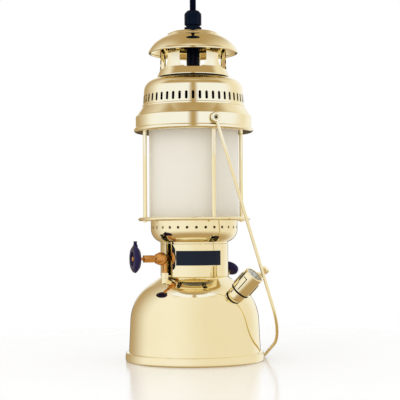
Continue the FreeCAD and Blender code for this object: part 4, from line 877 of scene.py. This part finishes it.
addPiece("hoodBrim", turnShape([
    (brim["mouth"], capLow),
    (brim["centre"], brimHeight, beadAngle - mouthAngle, 28),
    (brim["beadRadius"], brimHeight + brim["beadRise"], aroundBead - 360 - beadAngle, 22),
    (brim["centre"], brimHeight, innerMouthAngle - meetingAngle, 28),
], steps=160), polishedBrass, ["hood_brim"])

cap = {
    "radius": 0.0315, "edge": 0.0014, "corner": 0.0011, "step": 0.0284, "stepRise": 0.0037, "rise": 0.0064,
    "seat": 0.0124, "wall": 0.0016, "overlap": 0.002, "hole": 0.008, "mouth": 0.0308,
}
stepHeight = capLow + cap["stepRise"]
capHigh = capLow + cap["rise"]
addPiece("topCap", turnShape([
    (cap["hole"], capHigh - cap["wall"]),
    (cap["seat"], capHigh - cap["wall"]),
    (cap["step"] - cap["wall"], stepHeight - cap["wall"]),
    (cap["mouth"] - cap["wall"], capLow),
    (cap["mouth"] - cap["wall"], capLow - cap["overlap"]),
    (cap["mouth"], capLow - cap["overlap"]),
    (cap["mouth"], capLow),
    (cap["radius"], capLow, 0.0005),
    (cap["radius"], capLow + cap["edge"], 0.0008),
    (cap["radius"] - cap["corner"], capLow + cap["edge"] + cap["corner"], 0.0008),
    (cap["step"], stepHeight, 0.0012),
    (cap["seat"], capHigh, 0.0006),
    (cap["hole"], capHigh),
], steps=128), polishedBrass, ["top_cap"])
print("hood made")


# ---- stem, gland and lamp

gland = {
    "across": 0.0208, "hexHeight": 0.0036, "neck": 0.0084, "neckHeight": 0.0028, "spigot": 0.009,
    "spigotRadius": 0.0063, "bore": 0.0039, "nut": 0.0104, "nutRounding": 0.004, "ridgeCount": 12, "ridge": 0.0004,
}
glandTop = cordExit.z
nutLow = capHigh + gland["hexHeight"] + gland["neckHeight"]
hexBlock = hexShape(gland["across"], gland["hexHeight"], 0.001, Matrix.Translation((0, 0, capHigh)))
inner = turnShape([
    (gland["bore"], capHigh - gland["spigot"]),
    (gland["spigotRadius"], capHigh - gland["spigot"], 0.0005),
    (gland["spigotRadius"], capHigh + 0.002),
    (gland["neck"], capHigh + 0.002),
    (gland["neck"], nutLow),
    (gland["bore"], nutLow),
], steps=64)
glandBore = turnShape(section(0, gland["bore"], capHigh - 0.02, nutLow + 0.02), steps=48)
addPiece("glandBody", hexBlock, blackPlastic, ["gland_body"], joined=[inner], cutters=[glandBore])

nutShape = turnShape([
    (gland["bore"], nutLow + 0.0002),
    (gland["nut"], nutLow + 0.0002, 0.0006),
    (gland["nut"], glandTop - gland["nutRounding"], 0.003),
    (gland["nut"] - gland["nutRounding"] * 0.8, glandTop - 0.0004, 0.002),
    (gland["bore"] + 0.0012, glandTop, 0.0006),
    (gland["bore"], glandTop - 0.0008),
], steps=144)
for vert in nutShape.verts:
    angle = math.atan2(vert.co.y, vert.co.x)
    reach = math.hypot(vert.co.x, vert.co.y)
    dip = gland["ridge"] * (1 - abs(math.cos(angle * gland["ridgeCount"] / 2))) * 2
    if reach > gland["bore"] + 0.003:
        vert.co.xy *= 1 - dip / reach
addPiece("glandNut", nutShape, blackPlastic, ["gland_nut"], sharp=25)

stem = {"radius": 0.0079, "bore": 0.0064}
stemLow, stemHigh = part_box("stem_tube")
addPiece("stemTube", turnShape([
    (stem["bore"], stemLow.z), (stem["radius"], stemLow.z, 0.0004),
    (stem["radius"], stemHigh.z), (stem["bore"], stemHigh.z),
], steps=64), stemPaint, ["stem_tube"])

bulb = {"radius": 0.030, "slope": 21.0, "capRadius": 0.0132}
bulbLow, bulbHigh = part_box("bulb")
bulbCentre = bulbLow.z + bulb["radius"]
addPiece("bulb", turnShape([
    (0, bulbLow.z),
    (0, bulbCentre, 90 + bulb["slope"], 20),
    (bulb["capRadius"], bulbHigh.z),
    (0, bulbHigh.z),
], steps=72), lampGlass, ["bulb"])
print("stem, gland and lamp made")


# ---- badge: a bare enamel field in a thin brass border, bent to the collar

badge = {"width": 0.0588, "height": 0.0193, "thickness": 0.0009, "turn": 8.7, "rise": 0.0225, "border": 0.0009}
badgeIn = collar["radius"] + 0.00005
badgeMiddle = collarLow.z + badge["rise"]
badgeAngle = badge["width"] / badgeIn
onBadge = turned(badge["turn"], "Z")
badgeOut = badgeIn + badge["thickness"]
backing = turnShape(
    section(badgeIn, badgeOut, badgeMiddle - badge["height"] / 2, badgeMiddle + badge["height"] / 2),
    steps=40, angle=badgeAngle, place=onBadge,
)
fieldHeight = badge["height"] - 2 * badge["border"]
fieldAngle = badgeAngle - 2 * badge["border"] / badgeIn
fieldEnds = (badgeMiddle - fieldHeight / 2, badgeMiddle + fieldHeight / 2)
pocket = turnShape(
    section(badgeOut - 0.0003, badgeOut + 0.001, *fieldEnds), steps=40, angle=fieldAngle, place=onBadge
)
addPiece("badgeBorder", backing, polishedBrass, ["badge_plate"], cutters=[pocket])
field = turnShape(
    section(badgeOut - 0.0005, badgeOut - 0.0001, *fieldEnds), steps=40, angle=fieldAngle, place=onBadge
)
addPiece("badgeField", field, badgeEnamel, [])


# ---- filler with its pressure gauge and release screw

filler = {
    "seatTurn": 49.0, "seatTilt": 39.0, "turn": 62.0, "tilt": 45.5, "flange": 0.0105, "flangeHeight": 0.006,
    "bore": 0.0066, "thread": 0.0086, "neckHeight": 0.021, "gasket": 0.0119, "gasketHeight": 0.002,
    "cap": 0.01175, "capHeight": 0.026, "roof": 0.009, "dial": 0.0094, "recess": 0.0022,
    "gripWidth": 0.0044, "gripRise": 0.001, "gripLow": 0.0025, "gripHeight": 0.016, "gripTurns": (-98.0, 22.0),
    "groove": 0.0005,
}
release = {
    "offset": 0.016, "turn": 86.0, "radius": 0.0044, "height": 0.006, "stem": 0.0016, "start": 0.018,
    "reach": 0.0305, "boss": 0.0036, "bossLow": 0.016, "bossHeight": 0.011,
}
seatRadius, seatHeight = tankPoint(tank["bend"], filler["seatTilt"])
seatPoint = compass(filler["seatTurn"], seatRadius, seatHeight)


def onFiller(reach=0, across=(0, 0)):
    return facing(seatPoint, filler["turn"], filler["tilt"], reach, across)


flange = turnShape([
    (filler["bore"], -0.0025),
    (filler["flange"], -0.0025),
    (filler["flange"], filler["flangeHeight"], 0.0007),
    (filler["thread"], filler["flangeHeight"]),
    (filler["thread"], filler["neckHeight"], 0.0004),
    (filler["bore"], filler["neckHeight"]),
], steps=72, place=onFiller())
addPiece("fillerNeck", flange, polishedBrass, ["filler_neck"])
capStart = filler["flangeHeight"] + filler["gasketHeight"]
addPiece("fillerGasket", turnShape([
    (filler["thread"] + 0.0003, filler["flangeHeight"]), (filler["gasket"], filler["flangeHeight"], 0.0004),
    (filler["gasket"], capStart, 0.0004), (filler["thread"] + 0.0003, capStart),
], steps=72, place=onFiller()), blackRubberAndShade, ["filler_gasket"], body="filler_cap")

capTop = capStart + filler["capHeight"]
capShape = turnShape([
    (0, capTop - filler["roof"]),
    (filler["thread"] + 0.0003, capTop - filler["roof"]),
    (filler["thread"] + 0.0003, capStart),
    (filler["cap"], capStart, 0.0006),
    (filler["cap"], capTop, 0.001),
    (filler["dial"], capTop, 0.0004),
    (filler["dial"], capTop - filler["recess"]),
    (0, capTop - filler["recess"]),
], steps=96, place=onFiller())


def padShape(outward, margin, out, depth, rounding=0):
    # one pad's outline with a margin round it, from a little outside the cap inwards
    return prismShape(
        rectangle(filler["gripWidth"] + 2 * margin, filler["gripHeight"] + 2 * margin,
                  capStart + filler["gripLow"] - margin),
        depth, rounding=rounding, place=outward @ Matrix.Translation((0, -filler["cap"] - out, 0)),
    )


padPlaces = [
    onFiller() @ turned(start + side + 90, "Z") for start in filler["gripTurns"] for side in (0, 180)
]
pads = [padShape(outward, 0, filler["gripRise"], filler["gripRise"] * 2.4, 0.0006) for outward in padPlaces]
grooves = [padShape(outward, filler["groove"], 0.0015, 0.002, 0.0008) for outward in padPlaces]
lug = turnShape([
    (0, capStart + release["bossLow"]), (release["boss"], capStart + release["bossLow"], 0.0005),
    (release["boss"], capStart + release["bossLow"] + release["bossHeight"], 0.0005),
    (0, capStart + release["bossLow"] + release["bossHeight"]),
], steps=40)
lugTurn = math.radians(release["turn"])
lugSpot = (release["offset"] * math.cos(lugTurn), release["offset"] * math.sin(lugTurn))
bmesh.ops.transform(lug, matrix=onFiller(0, lugSpot), verts=lug.verts)
arm = prismShape(
    rectangle(release["boss"] * 2, release["bossHeight"] - 0.0004, capStart + release["bossLow"] + 0.0002),
    release["offset"] - filler["cap"] + 0.002,
    place=onFiller() @ Matrix.Rotation(lugTurn + math.radians(90), 4, "Z")
    @ Matrix.Translation((0, -release["offset"], 0)),
)
releaseBore = turnShape(
    section(0, release["stem"] + 0.00006, capStart + release["start"], capStart + 0.04),
    steps=32, place=onFiller(0, lugSpot),
)
grooved = looseObject(capShape)
for groove in grooves:
    carve(grooved, looseObject(groove))
addPiece("fillerCap", takeShape(grooved), polishedBrass, ["filler_cap"], body="filler_cap",
         joined=[*pads, lug, arm], cutters=[releaseBore])

# painted shade: dark lines lie in the grooves round the pads, standing in for their shadows
lines = bmesh.new()
for outward in padPlaces:
    line = looseObject(padShape(outward, 0.95 * filler["groove"], 0.0002, 0.0016))
    carve(line, looseObject(padShape(outward, 0.00005, 0.002, 0.006)))
    lines.from_mesh(line.data)
    bpy.data.objects.remove(line)
addPiece("gripGrooveShade", lines, blackRubberAndShade, [], body="filler_cap")

dialLow = capTop - filler["recess"]
addPiece("gaugeDial", turnShape([
    (0, dialLow), (filler["dial"] - 0.0001, dialLow), (filler["dial"] - 0.0001, dialLow + 0.0008, 0.0002),
    (0, dialLow + 0.0008),
], steps=64, place=onFiller()), dialPaint, ["gauge_dial"], body="filler_cap")
addPiece("gaugeGlass", turnShape([
    (0, dialLow + 0.0009), (filler["dial"] - 0.0001, dialLow + 0.0009),
    (filler["dial"] - 0.0001, dialLow + 0.0016, 0.0003), (0, dialLow + 0.0016),
], steps=64, place=onFiller()), clearGlass, ["gauge_glass"], body="filler_cap")

knob = turnShape([
    (0, capStart + release["start"] + 0.0005),
    (release["stem"], capStart + release["start"] + 0.0005),
    (release["stem"], capStart + release["reach"]),
    (release["radius"], capStart + release["reach"], 0.0008),
    (release["radius"], capStart + release["reach"] + release["height"], 0.0008),
    (0, capStart + release["reach"] + release["height"]),
], steps=96)
for vert in knob.verts:
    reach = math.hypot(vert.co.x, vert.co.y)
    if reach > release["radius"] - 0.0003:
        angle = math.atan2(vert.co.y, vert.co.x)
        vert.co.xy *= 1 - 0.0002 * (1 + math.cos(angle * 24)) / reach
bmesh.ops.transform(knob, matrix=onFiller(0, lugSpot), verts=knob.verts)
addPiece("releaseScrew", knob, polishedBrass, ["release_screw"], body="release_screw")
print("filler made")


# ---- pump

pump = {
    "turn": 143.5, "tilt": 50.0, "bush": 0.011, "bushHeight": 0.007, "rod": 0.0025, "rodDepth": 0.07,
    "reach": 0.022, "knob": 0.0106, "knobHeight": 0.0086, "knobBore": 0.005,
}
pumpRadius, pumpHeight = tankPoint(tank["bend"], pump["tilt"])
pumpPoint = compass(pump["turn"], pumpRadius, pumpHeight)
onPump = facing(pumpPoint, pump["turn"], pump["tilt"])
addPiece("pumpBush", turnShape([
    (pump["rod"] + 0.00006, -0.006),
    (0.0084, -0.006),
    (0.0084, -0.0021),
    (pump["bush"], -0.0021),
    (pump["bush"], pump["bushHeight"], 0.0016),
    (pump["rod"] + 0.00006, pump["bushHeight"], 0.0004),
], steps=80, place=onPump), polishedBrass, ["pump_bush"])
addPiece("pumpRod", turnShape([
    (0, -pump["rodDepth"]), (pump["rod"], -pump["rodDepth"], 0.0004),
    (pump["rod"], pump["reach"] + pump["knobBore"]), (0, pump["reach"] + pump["knobBore"]),
], steps=40, place=onPump), dullBrass, ["pump_rod"], body="pump")
addPiece("pumpKnob", turnShape([
    (0, pump["reach"] + pump["knobBore"]),
    (pump["rod"], pump["reach"] + pump["knobBore"]),
    (pump["rod"], pump["reach"]),
    (pump["knob"] - 0.003, pump["reach"], 0.0005),
    (pump["knob"], pump["reach"] + 0.0028, 0.0022),
    (pump["knob"], pump["reach"] + pump["knobHeight"], 0.0024),
    (0, pump["reach"] + pump["knobHeight"]),
], steps=96, place=onPump), bluePlastic, ["pump_knob"], body="pump")


# ---- valve, its packing nut and the hand wheel

valve = {
    "circle": 0.0465, "riserTurn": -48.8, "rise": 0.0219, "turn": -72.0, "ball": 0.0079, "ballReach": 0.005,
    "ring": 0.0059, "ringEnd": 0.0114, "neck": 0.0039, "bore": 0.003, "packStart": 0.0146, "packAcross": 0.0086,
    "packHeight": 0.0122, "spindle": 0.0016, "spindleStart": 0.006, "riser": 0.003, "spindleEnd": 0.0355,
    "inlet": 0.0026, "inletEnds": (0.004, 0.015), "nutAcross": 0.008, "nutHeight": 0.0064, "nutBore": 0.0031,
}
valveHeight = collarLow.z + valve["rise"]
valvePoint = compass(valve["riserTurn"], valve["circle"], valveHeight)
onValve = facing(valvePoint, valve["turn"], 0)
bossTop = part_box("riser_nut")[0].z
ballMeet = math.sqrt(valve["ball"] ** 2 - valve["ring"] ** 2)
elbow = turnShape([
    (0, valve["ballReach"] - valve["ball"]),
    (0, valve["ballReach"], 90 + math.degrees(math.asin(ballMeet / valve["ball"])), 20),
    (valve["ring"], valve["ringEnd"], 0.0005),
    (valve["neck"], valve["ringEnd"] + valve["ring"] - valve["neck"], 0.0006),
    (valve["neck"], valve["packStart"]),
    (valve["bore"], valve["packStart"]),
    (valve["bore"], valve["spindleStart"] - 0.001),
    (0, valve["spindleStart"] - 0.001),
], steps=72, place=onValve)
onRiser = Matrix.Translation(compass(valve["riserTurn"], valve["circle"]))
pipe = turnShape(section(0, valve["riser"], bossTop, valveHeight), steps=40, place=onRiser)
inlet = turnShape(
    section(0, valve["inlet"], *valve["inletEnds"]), steps=40, place=facing(valvePoint, valve["riserTurn"] + 180, 0)
)
addPiece("valveBody", elbow, copperBrass, ["valve_body"], joined=[pipe, inlet])
riserNut = hexShape(
    valve["nutAcross"], valve["nutHeight"], 0.0006,
    Matrix.Translation(compass(valve["riserTurn"], valve["circle"], bossTop)),
)
riserBore = turnShape(section(0, valve["nutBore"], bossTop - 0.01, bossTop + 0.02), steps=40, place=onRiser)
addPiece("riserNut", riserNut, polishedBrass, ["riser_nut"], cutters=[riserBore])
packing = hexShape(
    valve["packAcross"], valve["packHeight"], 0.0009, onValve @ Matrix.Translation((0, 0, valve["packStart"]))
)
packBore = turnShape(section(0, valve["spindle"] + 0.00006, 0.01, 0.04), steps=40, place=onValve)
addPiece("packingNut", packing, copperBrass, ["packing_nut"], cutters=[packBore])

wheel = {
    "start": 0.0311, "radius": 0.0168, "back": 0.006, "rimRise": 0.0054, "face": 0.0134,
    "faceRise": 0.0094, "recess": 0.0088, "recessDepth": 0.0026, "pointerWidth": 0.0036, "pointer": 0.0044,
    "pointerThickness": 0.0036, "pointerFoot": 0.0063, "pointerBase": 0.0050, "screw": 0.003, "screwHeight": 0.0024,
    "slotWidth": 0.0009, "slotLength": 0.01, "slotDepth": 0.0006,
}
wheelFace = wheel["start"] + wheel["faceRise"]
recessFloor = wheelFace - wheel["recessDepth"]
addPiece("valveSpindle", turnShape([
    (0, valve["spindleStart"]), (valve["spindle"], valve["spindleStart"], 0.0003),
    (valve["spindle"], valve["spindleEnd"]), (0, valve["spindleEnd"]),
], steps=32, place=onValve), copperBrass, ["valve_spindle"], body="hand_wheel")
wheelShape = turnShape([
    (valve["spindle"] + 0.00005, wheel["start"]),
    (wheel["back"], wheel["start"]),
    (wheel["back"] + 0.0062, wheel["start"] + 0.0013),
    (wheel["radius"] - 0.001, wheel["start"] + wheel["rimRise"] - 0.001, 0.001),
    (wheel["radius"], wheel["start"] + wheel["rimRise"] + 0.0002, 0.001),
    (wheel["radius"] - 0.0009, wheel["start"] + wheel["rimRise"] + 0.0022, 0.0016),
    (wheel["face"], wheelFace, 0.0012),
    (wheel["recess"], wheelFace, 0.0006),
    (wheel["recess"] - 0.0008, recessFloor, 0.0006),
    (valve["spindle"] + 0.00005, recessFloor),
], steps=128)
halfPointer = wheel["pointerWidth"] / 2
pointer = prismShape([
    (-wheel["pointerFoot"], wheel["radius"] - 0.004),
    (wheel["pointerFoot"], wheel["radius"] - 0.004),
    (wheel["pointerBase"], wheel["radius"] - 0.0004),
    (halfPointer, wheel["radius"] + 0.0012),
    (halfPointer, wheel["radius"] + wheel["pointer"]),
    (-halfPointer, wheel["radius"] + wheel["pointer"]),
    (-halfPointer, wheel["radius"] + 0.0012),
    (-wheel["pointerBase"], wheel["radius"] - 0.0004),
], wheel["pointerThickness"])
bmesh.ops.bevel(pointer, geom=pointer.edges[:], affect="EDGES", offset=0.0005, segments=3, profile=0.5, material=-1)
bmesh.ops.transform(pointer, verts=pointer.verts, matrix=turned(90, "Z") @ turned(-90, "X"))
pointerMiddle = wheel["start"] + wheel["rimRise"] + wheel["pointerThickness"] / 2
bmesh.ops.translate(pointer, verts=pointer.verts, vec=(0, 0, pointerMiddle))
bmesh.ops.transform(wheelShape, matrix=onValve, verts=wheelShape.verts)
bmesh.ops.transform(pointer, matrix=onValve, verts=pointer.verts)
addPiece("handWheel", wheelShape, bluePlastic, ["hand_wheel"], body="hand_wheel", joined=[pointer])
screwTop = recessFloor + wheel["screwHeight"]
screwSlot = prismShape(
    rectangle(wheel["slotWidth"], wheel["slotLength"]), 0.001,
    place=onValve @ Matrix.Translation((0, 0, screwTop - wheel["slotDepth"])) @ turned(90, "X"),
)
addPiece("wheelScrew", turnShape([
    (0, valve["spindleEnd"] + 0.0001),
    (0.001, valve["spindleEnd"] + 0.0001),
    (0.001, recessFloor),
    (wheel["screw"], recessFloor),
    (wheel["screw"], screwTop, 0.001),
    (0, screwTop),
], steps=64, place=onValve), copperBrass, ["wheel_screw"], body="hand_wheel", cutters=[screwSlot])
print("pump and valve made")


# ---- ceiling rose and cord grip

rose = {"radius": 0.042, "bend": 0.012, "wall": 0.001, "hole": 0.0067, "screwHole": 0.0018, "screwDrop": 0.007}
roseLow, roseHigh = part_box("ceiling_rose")
roseScrewHeight = roseHigh.z - rose["screwDrop"]
roseShape = turnShape([
    (rose["hole"], roseLow.z, 0.0003),
    (rose["radius"] - rose["bend"], roseLow.z),
    (rose["radius"] - rose["bend"], roseLow.z + rose["bend"], 90, 16),
    (rose["radius"], roseHigh.z, 0.0003),
    (rose["radius"] - rose["wall"], roseHigh.z),
    (rose["radius"] - rose["wall"], roseLow.z + rose["bend"]),
    (rose["radius"] - rose["bend"], roseLow.z + rose["bend"], -90, 16),
    (rose["hole"], roseLow.z + rose["wall"]),
], steps=128)
screwHoles = [
    turnShape(section(0, rose["screwHole"], 0.036, 0.046), steps=24, place=facing((0, 0, roseScrewHeight), turn, 0))
    for turn in (90, -90)
]
addPiece("ceilingRose", roseShape, blackPlastic, ["ceiling_rose"], cutters=screwHoles)
gripLow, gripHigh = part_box("cord_grip")
addPiece("cordGrip", turnShape([
    (0.0039, gripLow.z, 0.0003), (0.009, gripLow.z, 0.0006), (0.009, roseLow.z), (0.0065, roseLow.z),
    (0.0065, gripHigh.z, 0.0005), (0.0039, gripHigh.z),
], steps=64), blackPlastic, ["cord_grip"])


# ---- CAD nodes that stay, each with its own finish

keptNodes = {
    "base_plate": polishedBrass, "pump_barrel": dullBrass, "pump_valve": dullBrass, "pump_cup": pumpLeather,
    "stem_nut": dullBrass, "lamp_cable": cordRubber, "lamp_holder": holderPlastic, "holder_ring": holderPlastic,
    "bulb_cap": capMetal, "ceiling_bracket": zincSteel, "rose_screws": zincSteel, "riser_boss": polishedBrass,
}
for name, finish in keptNodes.items():
    nodes[name].data.materials.clear()
    nodes[name].data.materials.append(finish["material"])

print("rose made and kept nodes finished")


# ---- floor and studio

studio = {
    "floorSize": 14.0, "floorColour": (0.97, 0.97, 0.97), "floorRoughness": 0.18, "floorIor": 1.42,
    "floorEnd": (0.3, 0.6), "keyPower": 5,
    # these tones are painted reflection colours, seen only in reflections; the bluish one brighter than white is a
    # painted highlight
    "leftTone": (1.0, 1.0, 0.99), "rightTone": (0.93, 0.885, 0.78), "paintedHighlightTone": (1.0, 1.07, 1.28),
    "tan": (0.50, 0.365, 0.19), "dark": (0.10, 0.075, 0.045),
}


def calculate(tree, operation, first, second=0.0):
    step = tree.nodes.new("ShaderNodeMath")
    step.operation = operation
    feed(tree, step.inputs[0], first)
    feed(tree, step.inputs[1], second)
    return step.outputs["Value"]


def ramp(tree, value, start, end):
    spread = tree.nodes.new("ShaderNodeMapRange")
    spread.interpolation_type = "SMOOTHSTEP"
    spread.inputs["From Min"].default_value = start
    spread.inputs["From Max"].default_value = end
    tree.links.new(value, spread.inputs["Value"])
    return spread.outputs["Result"]


def together(tree, first, *others):
    for other in others:
        first = calculate(tree, "MULTIPLY", first, other)
    return first


# the floor ends softly a little way out, where the white surroundings go on
floorMesh = bmesh.new()
bmesh.ops.create_grid(floorMesh, x_segments=1, y_segments=1, size=studio["floorSize"] / 2)
floor = looseObject(floorMesh)
floor.name = "floor"
floorMaterial, tree, shader, place = startMaterial("floorPaint")
shader.inputs["Base Color"].default_value = (*studio["floorColour"], 1)
shader.inputs["Roughness"].default_value = studio["floorRoughness"]
shader.inputs["IOR"].default_value = studio["floorIor"]
reach = tree.nodes.new("ShaderNodeVectorMath")
reach.operation = "LENGTH"
tree.links.new(place, reach.inputs[0])
path = tree.nodes.new("ShaderNodeLightPath")
clear = tree.nodes.new("ShaderNodeBsdfTransparent")
mix = tree.nodes.new("ShaderNodeMixShader")
fade = together(tree, ramp(tree, reach.outputs["Value"], *studio["floorEnd"]), path.outputs["Is Camera Ray"])
tree.links.new(fade, mix.inputs["Fac"])
tree.links.new(shader.outputs["BSDF"], mix.inputs[1])
tree.links.new(clear.outputs["BSDF"], mix.inputs[2])
tree.links.new(mix.outputs["Shader"], tree.nodes["Material Output"].inputs["Surface"])
floor.data.materials.append(floorMaterial)
floor.visible_glossy = False


def addScreen(name, bm, colours, shareOf):
    # a soft-edged glowing sheet that only reflections see, so its colours are painted reflections; shareOf gives how
    # solid it is and how far its second colour shows
    screen = looseObject(bm)
    screen.name = name
    material, tree, shader, place = startMaterial(name + "Cloth")
    parts = tree.nodes.new("ShaderNodeSeparateXYZ")
    tree.links.new(place, parts.inputs["Vector"])
    solid, second = shareOf(tree, parts.outputs["X"], parts.outputs["Y"], parts.outputs["Z"])
    glow = tree.nodes.new("ShaderNodeEmission")
    tree.links.new(colourBetween(tree, second, *colours), glow.inputs["Color"])
    clear = tree.nodes.new("ShaderNodeBsdfTransparent")
    mix = tree.nodes.new("ShaderNodeMixShader")
    tree.links.new(solid, mix.inputs["Fac"])
    tree.links.new(clear.outputs["BSDF"], mix.inputs[1])
    tree.links.new(glow.outputs["Emission"], mix.inputs[2])
    tree.links.new(mix.outputs["Shader"], tree.nodes["Material Output"].inputs["Surface"])
    screen.data.materials.append(material)
    screen.visible_camera = screen.visible_shadow = screen.visible_diffuse = screen.visible_transmission = False


# painted reflections: a glowing cylinder round the front of the hood, bright bluish as a painted highlight, with a tan
# slit in its middle and a tan valance, and a tan glowing sheet above
reflectionTent = {
    "radius": 0.13, "low": 0.245, "high": 0.5, "lowEdge": 0.02, "highEdge": 0.03, "slit": (0.002, 0.022),
    "valance": (0.405, 0.378), "sides": (-0.01, -0.07), "segments": 96,
}
reflectionSheet = {
    "height": 0.66, "width": 0.8, "front": -0.24, "back": 0.55, "frontEdge": 0.1, "backEdge": 0.25, "sideEdge": 0.34,
}


def reflectionTentShares(tree, toRight, toBack, height):
    low = ramp(tree, height, reflectionTent["low"], reflectionTent["low"] + reflectionTent["lowEdge"])
    high = ramp(tree, height, reflectionTent["high"], reflectionTent["high"] - reflectionTent["highEdge"])
    slit = ramp(tree, calculate(tree, "ABSOLUTE", toRight), *reflectionTent["slit"])
    bright = together(tree, slit, ramp(tree, height, *reflectionTent["valance"]))
    return together(tree, low, high, ramp(tree, toBack, *reflectionTent["sides"])), bright


def reflectionSheetShares(tree, toRight, toBack, height):
    front = ramp(tree, toBack, reflectionSheet["front"], reflectionSheet["front"] + reflectionSheet["frontEdge"])
    back = ramp(tree, toBack, reflectionSheet["back"], reflectionSheet["back"] - reflectionSheet["backEdge"])
    side = ramp(tree, calculate(tree, "ABSOLUTE", toRight), reflectionSheet["width"] / 2, reflectionSheet["width"] / 2 - reflectionSheet["sideEdge"])
    return together(tree, front, back, side), side


bm = bmesh.new()
for height in (reflectionTent["low"], reflectionTent["high"]):
    bmesh.ops.create_circle(
        bm, segments=reflectionTent["segments"], radius=reflectionTent["radius"], matrix=Matrix.Translation((0, 0, height))
    )
bmesh.ops.bridge_loops(bm, edges=bm.edges[:])
addScreen("reflectionTent", bm, (studio["tan"], studio["paintedHighlightTone"]), reflectionTentShares)

bm = bmesh.new()
middle = (reflectionSheet["front"] + reflectionSheet["back"]) / 2
bmesh.ops.create_grid(
    bm, x_segments=1, y_segments=1, size=1,
    matrix=Matrix.Translation((0, middle, reflectionSheet["height"]))
    @ Matrix.Diagonal((reflectionSheet["width"] / 2, (reflectionSheet["back"] - reflectionSheet["front"]) / 2, 1, 1)),
)
addScreen("reflectionSheet", bm, (studio["tan"], studio["tan"]), reflectionSheetShares)

# white surroundings; only glossy rays see painted reflections in them: a warmer right side, a tan wall on the left, tan
# ground and a dark line behind
world = bpy.data.worlds.new("studio")
scene.world = world
world.use_nodes = True
tree = world.node_tree
background = tree.nodes["Background"]
aim = tree.nodes.new("ShaderNodeTexCoord")
parts = tree.nodes.new("ShaderNodeSeparateXYZ")
tree.links.new(aim.outputs["Generated"], parts.inputs["Vector"])
toRight, toBack, upward = parts.outputs["X"], parts.outputs["Y"], parts.outputs["Z"]
level = ramp(tree, upward, 0.05, 0.0)
offFloor = calculate(tree, "MAXIMUM", ramp(tree, calculate(tree, "ABSOLUTE", toRight), 0.15, 0.4), level)
rightSide = together(tree, ramp(tree, toRight, -0.7, 0.5), ramp(tree, toBack, 0.8, 0.4))
wall = together(tree, ramp(tree, toBack, -0.1, 0.95), ramp(tree, toRight, 0.45, -0.2), offFloor)
groundReflection = ramp(tree, upward, -0.2, -0.75)
backLineReflection = together(tree, ramp(tree, toBack, 0.93, 0.985), level)
seen = colourBetween(tree, rightSide, studio["leftTone"], studio["rightTone"])
seen = colourBetween(tree, calculate(tree, "MAXIMUM", wall, groundReflection), seen, studio["tan"])
seen = colourBetween(tree, backLineReflection, seen, studio["dark"])
path = tree.nodes.new("ShaderNodeLightPath")
seen = colourBetween(tree, path.outputs["Is Glossy Ray"], (1, 1, 1), seen)
tree.links.new(seen, background.inputs["Color"])
background.inputs["Strength"].default_value = 1.0

keyLamp = bpy.data.lights.new("keyLamp", "AREA")
keyLamp.size = 1.2
keyLamp.energy = studio["keyPower"]
lamp = bpy.data.objects.new("keyLamp", keyLamp)
lamp.matrix_world = (
    Matrix.Translation((-1.3, -1.6, 1.5)) @ Vector((1.3, 1.6, -1.3)).to_track_quat("-Z", "Y").to_matrix().to_4x4()
)
lamp.visible_glossy = False
scene.collection.objects.link(lamp)
print("stage made")
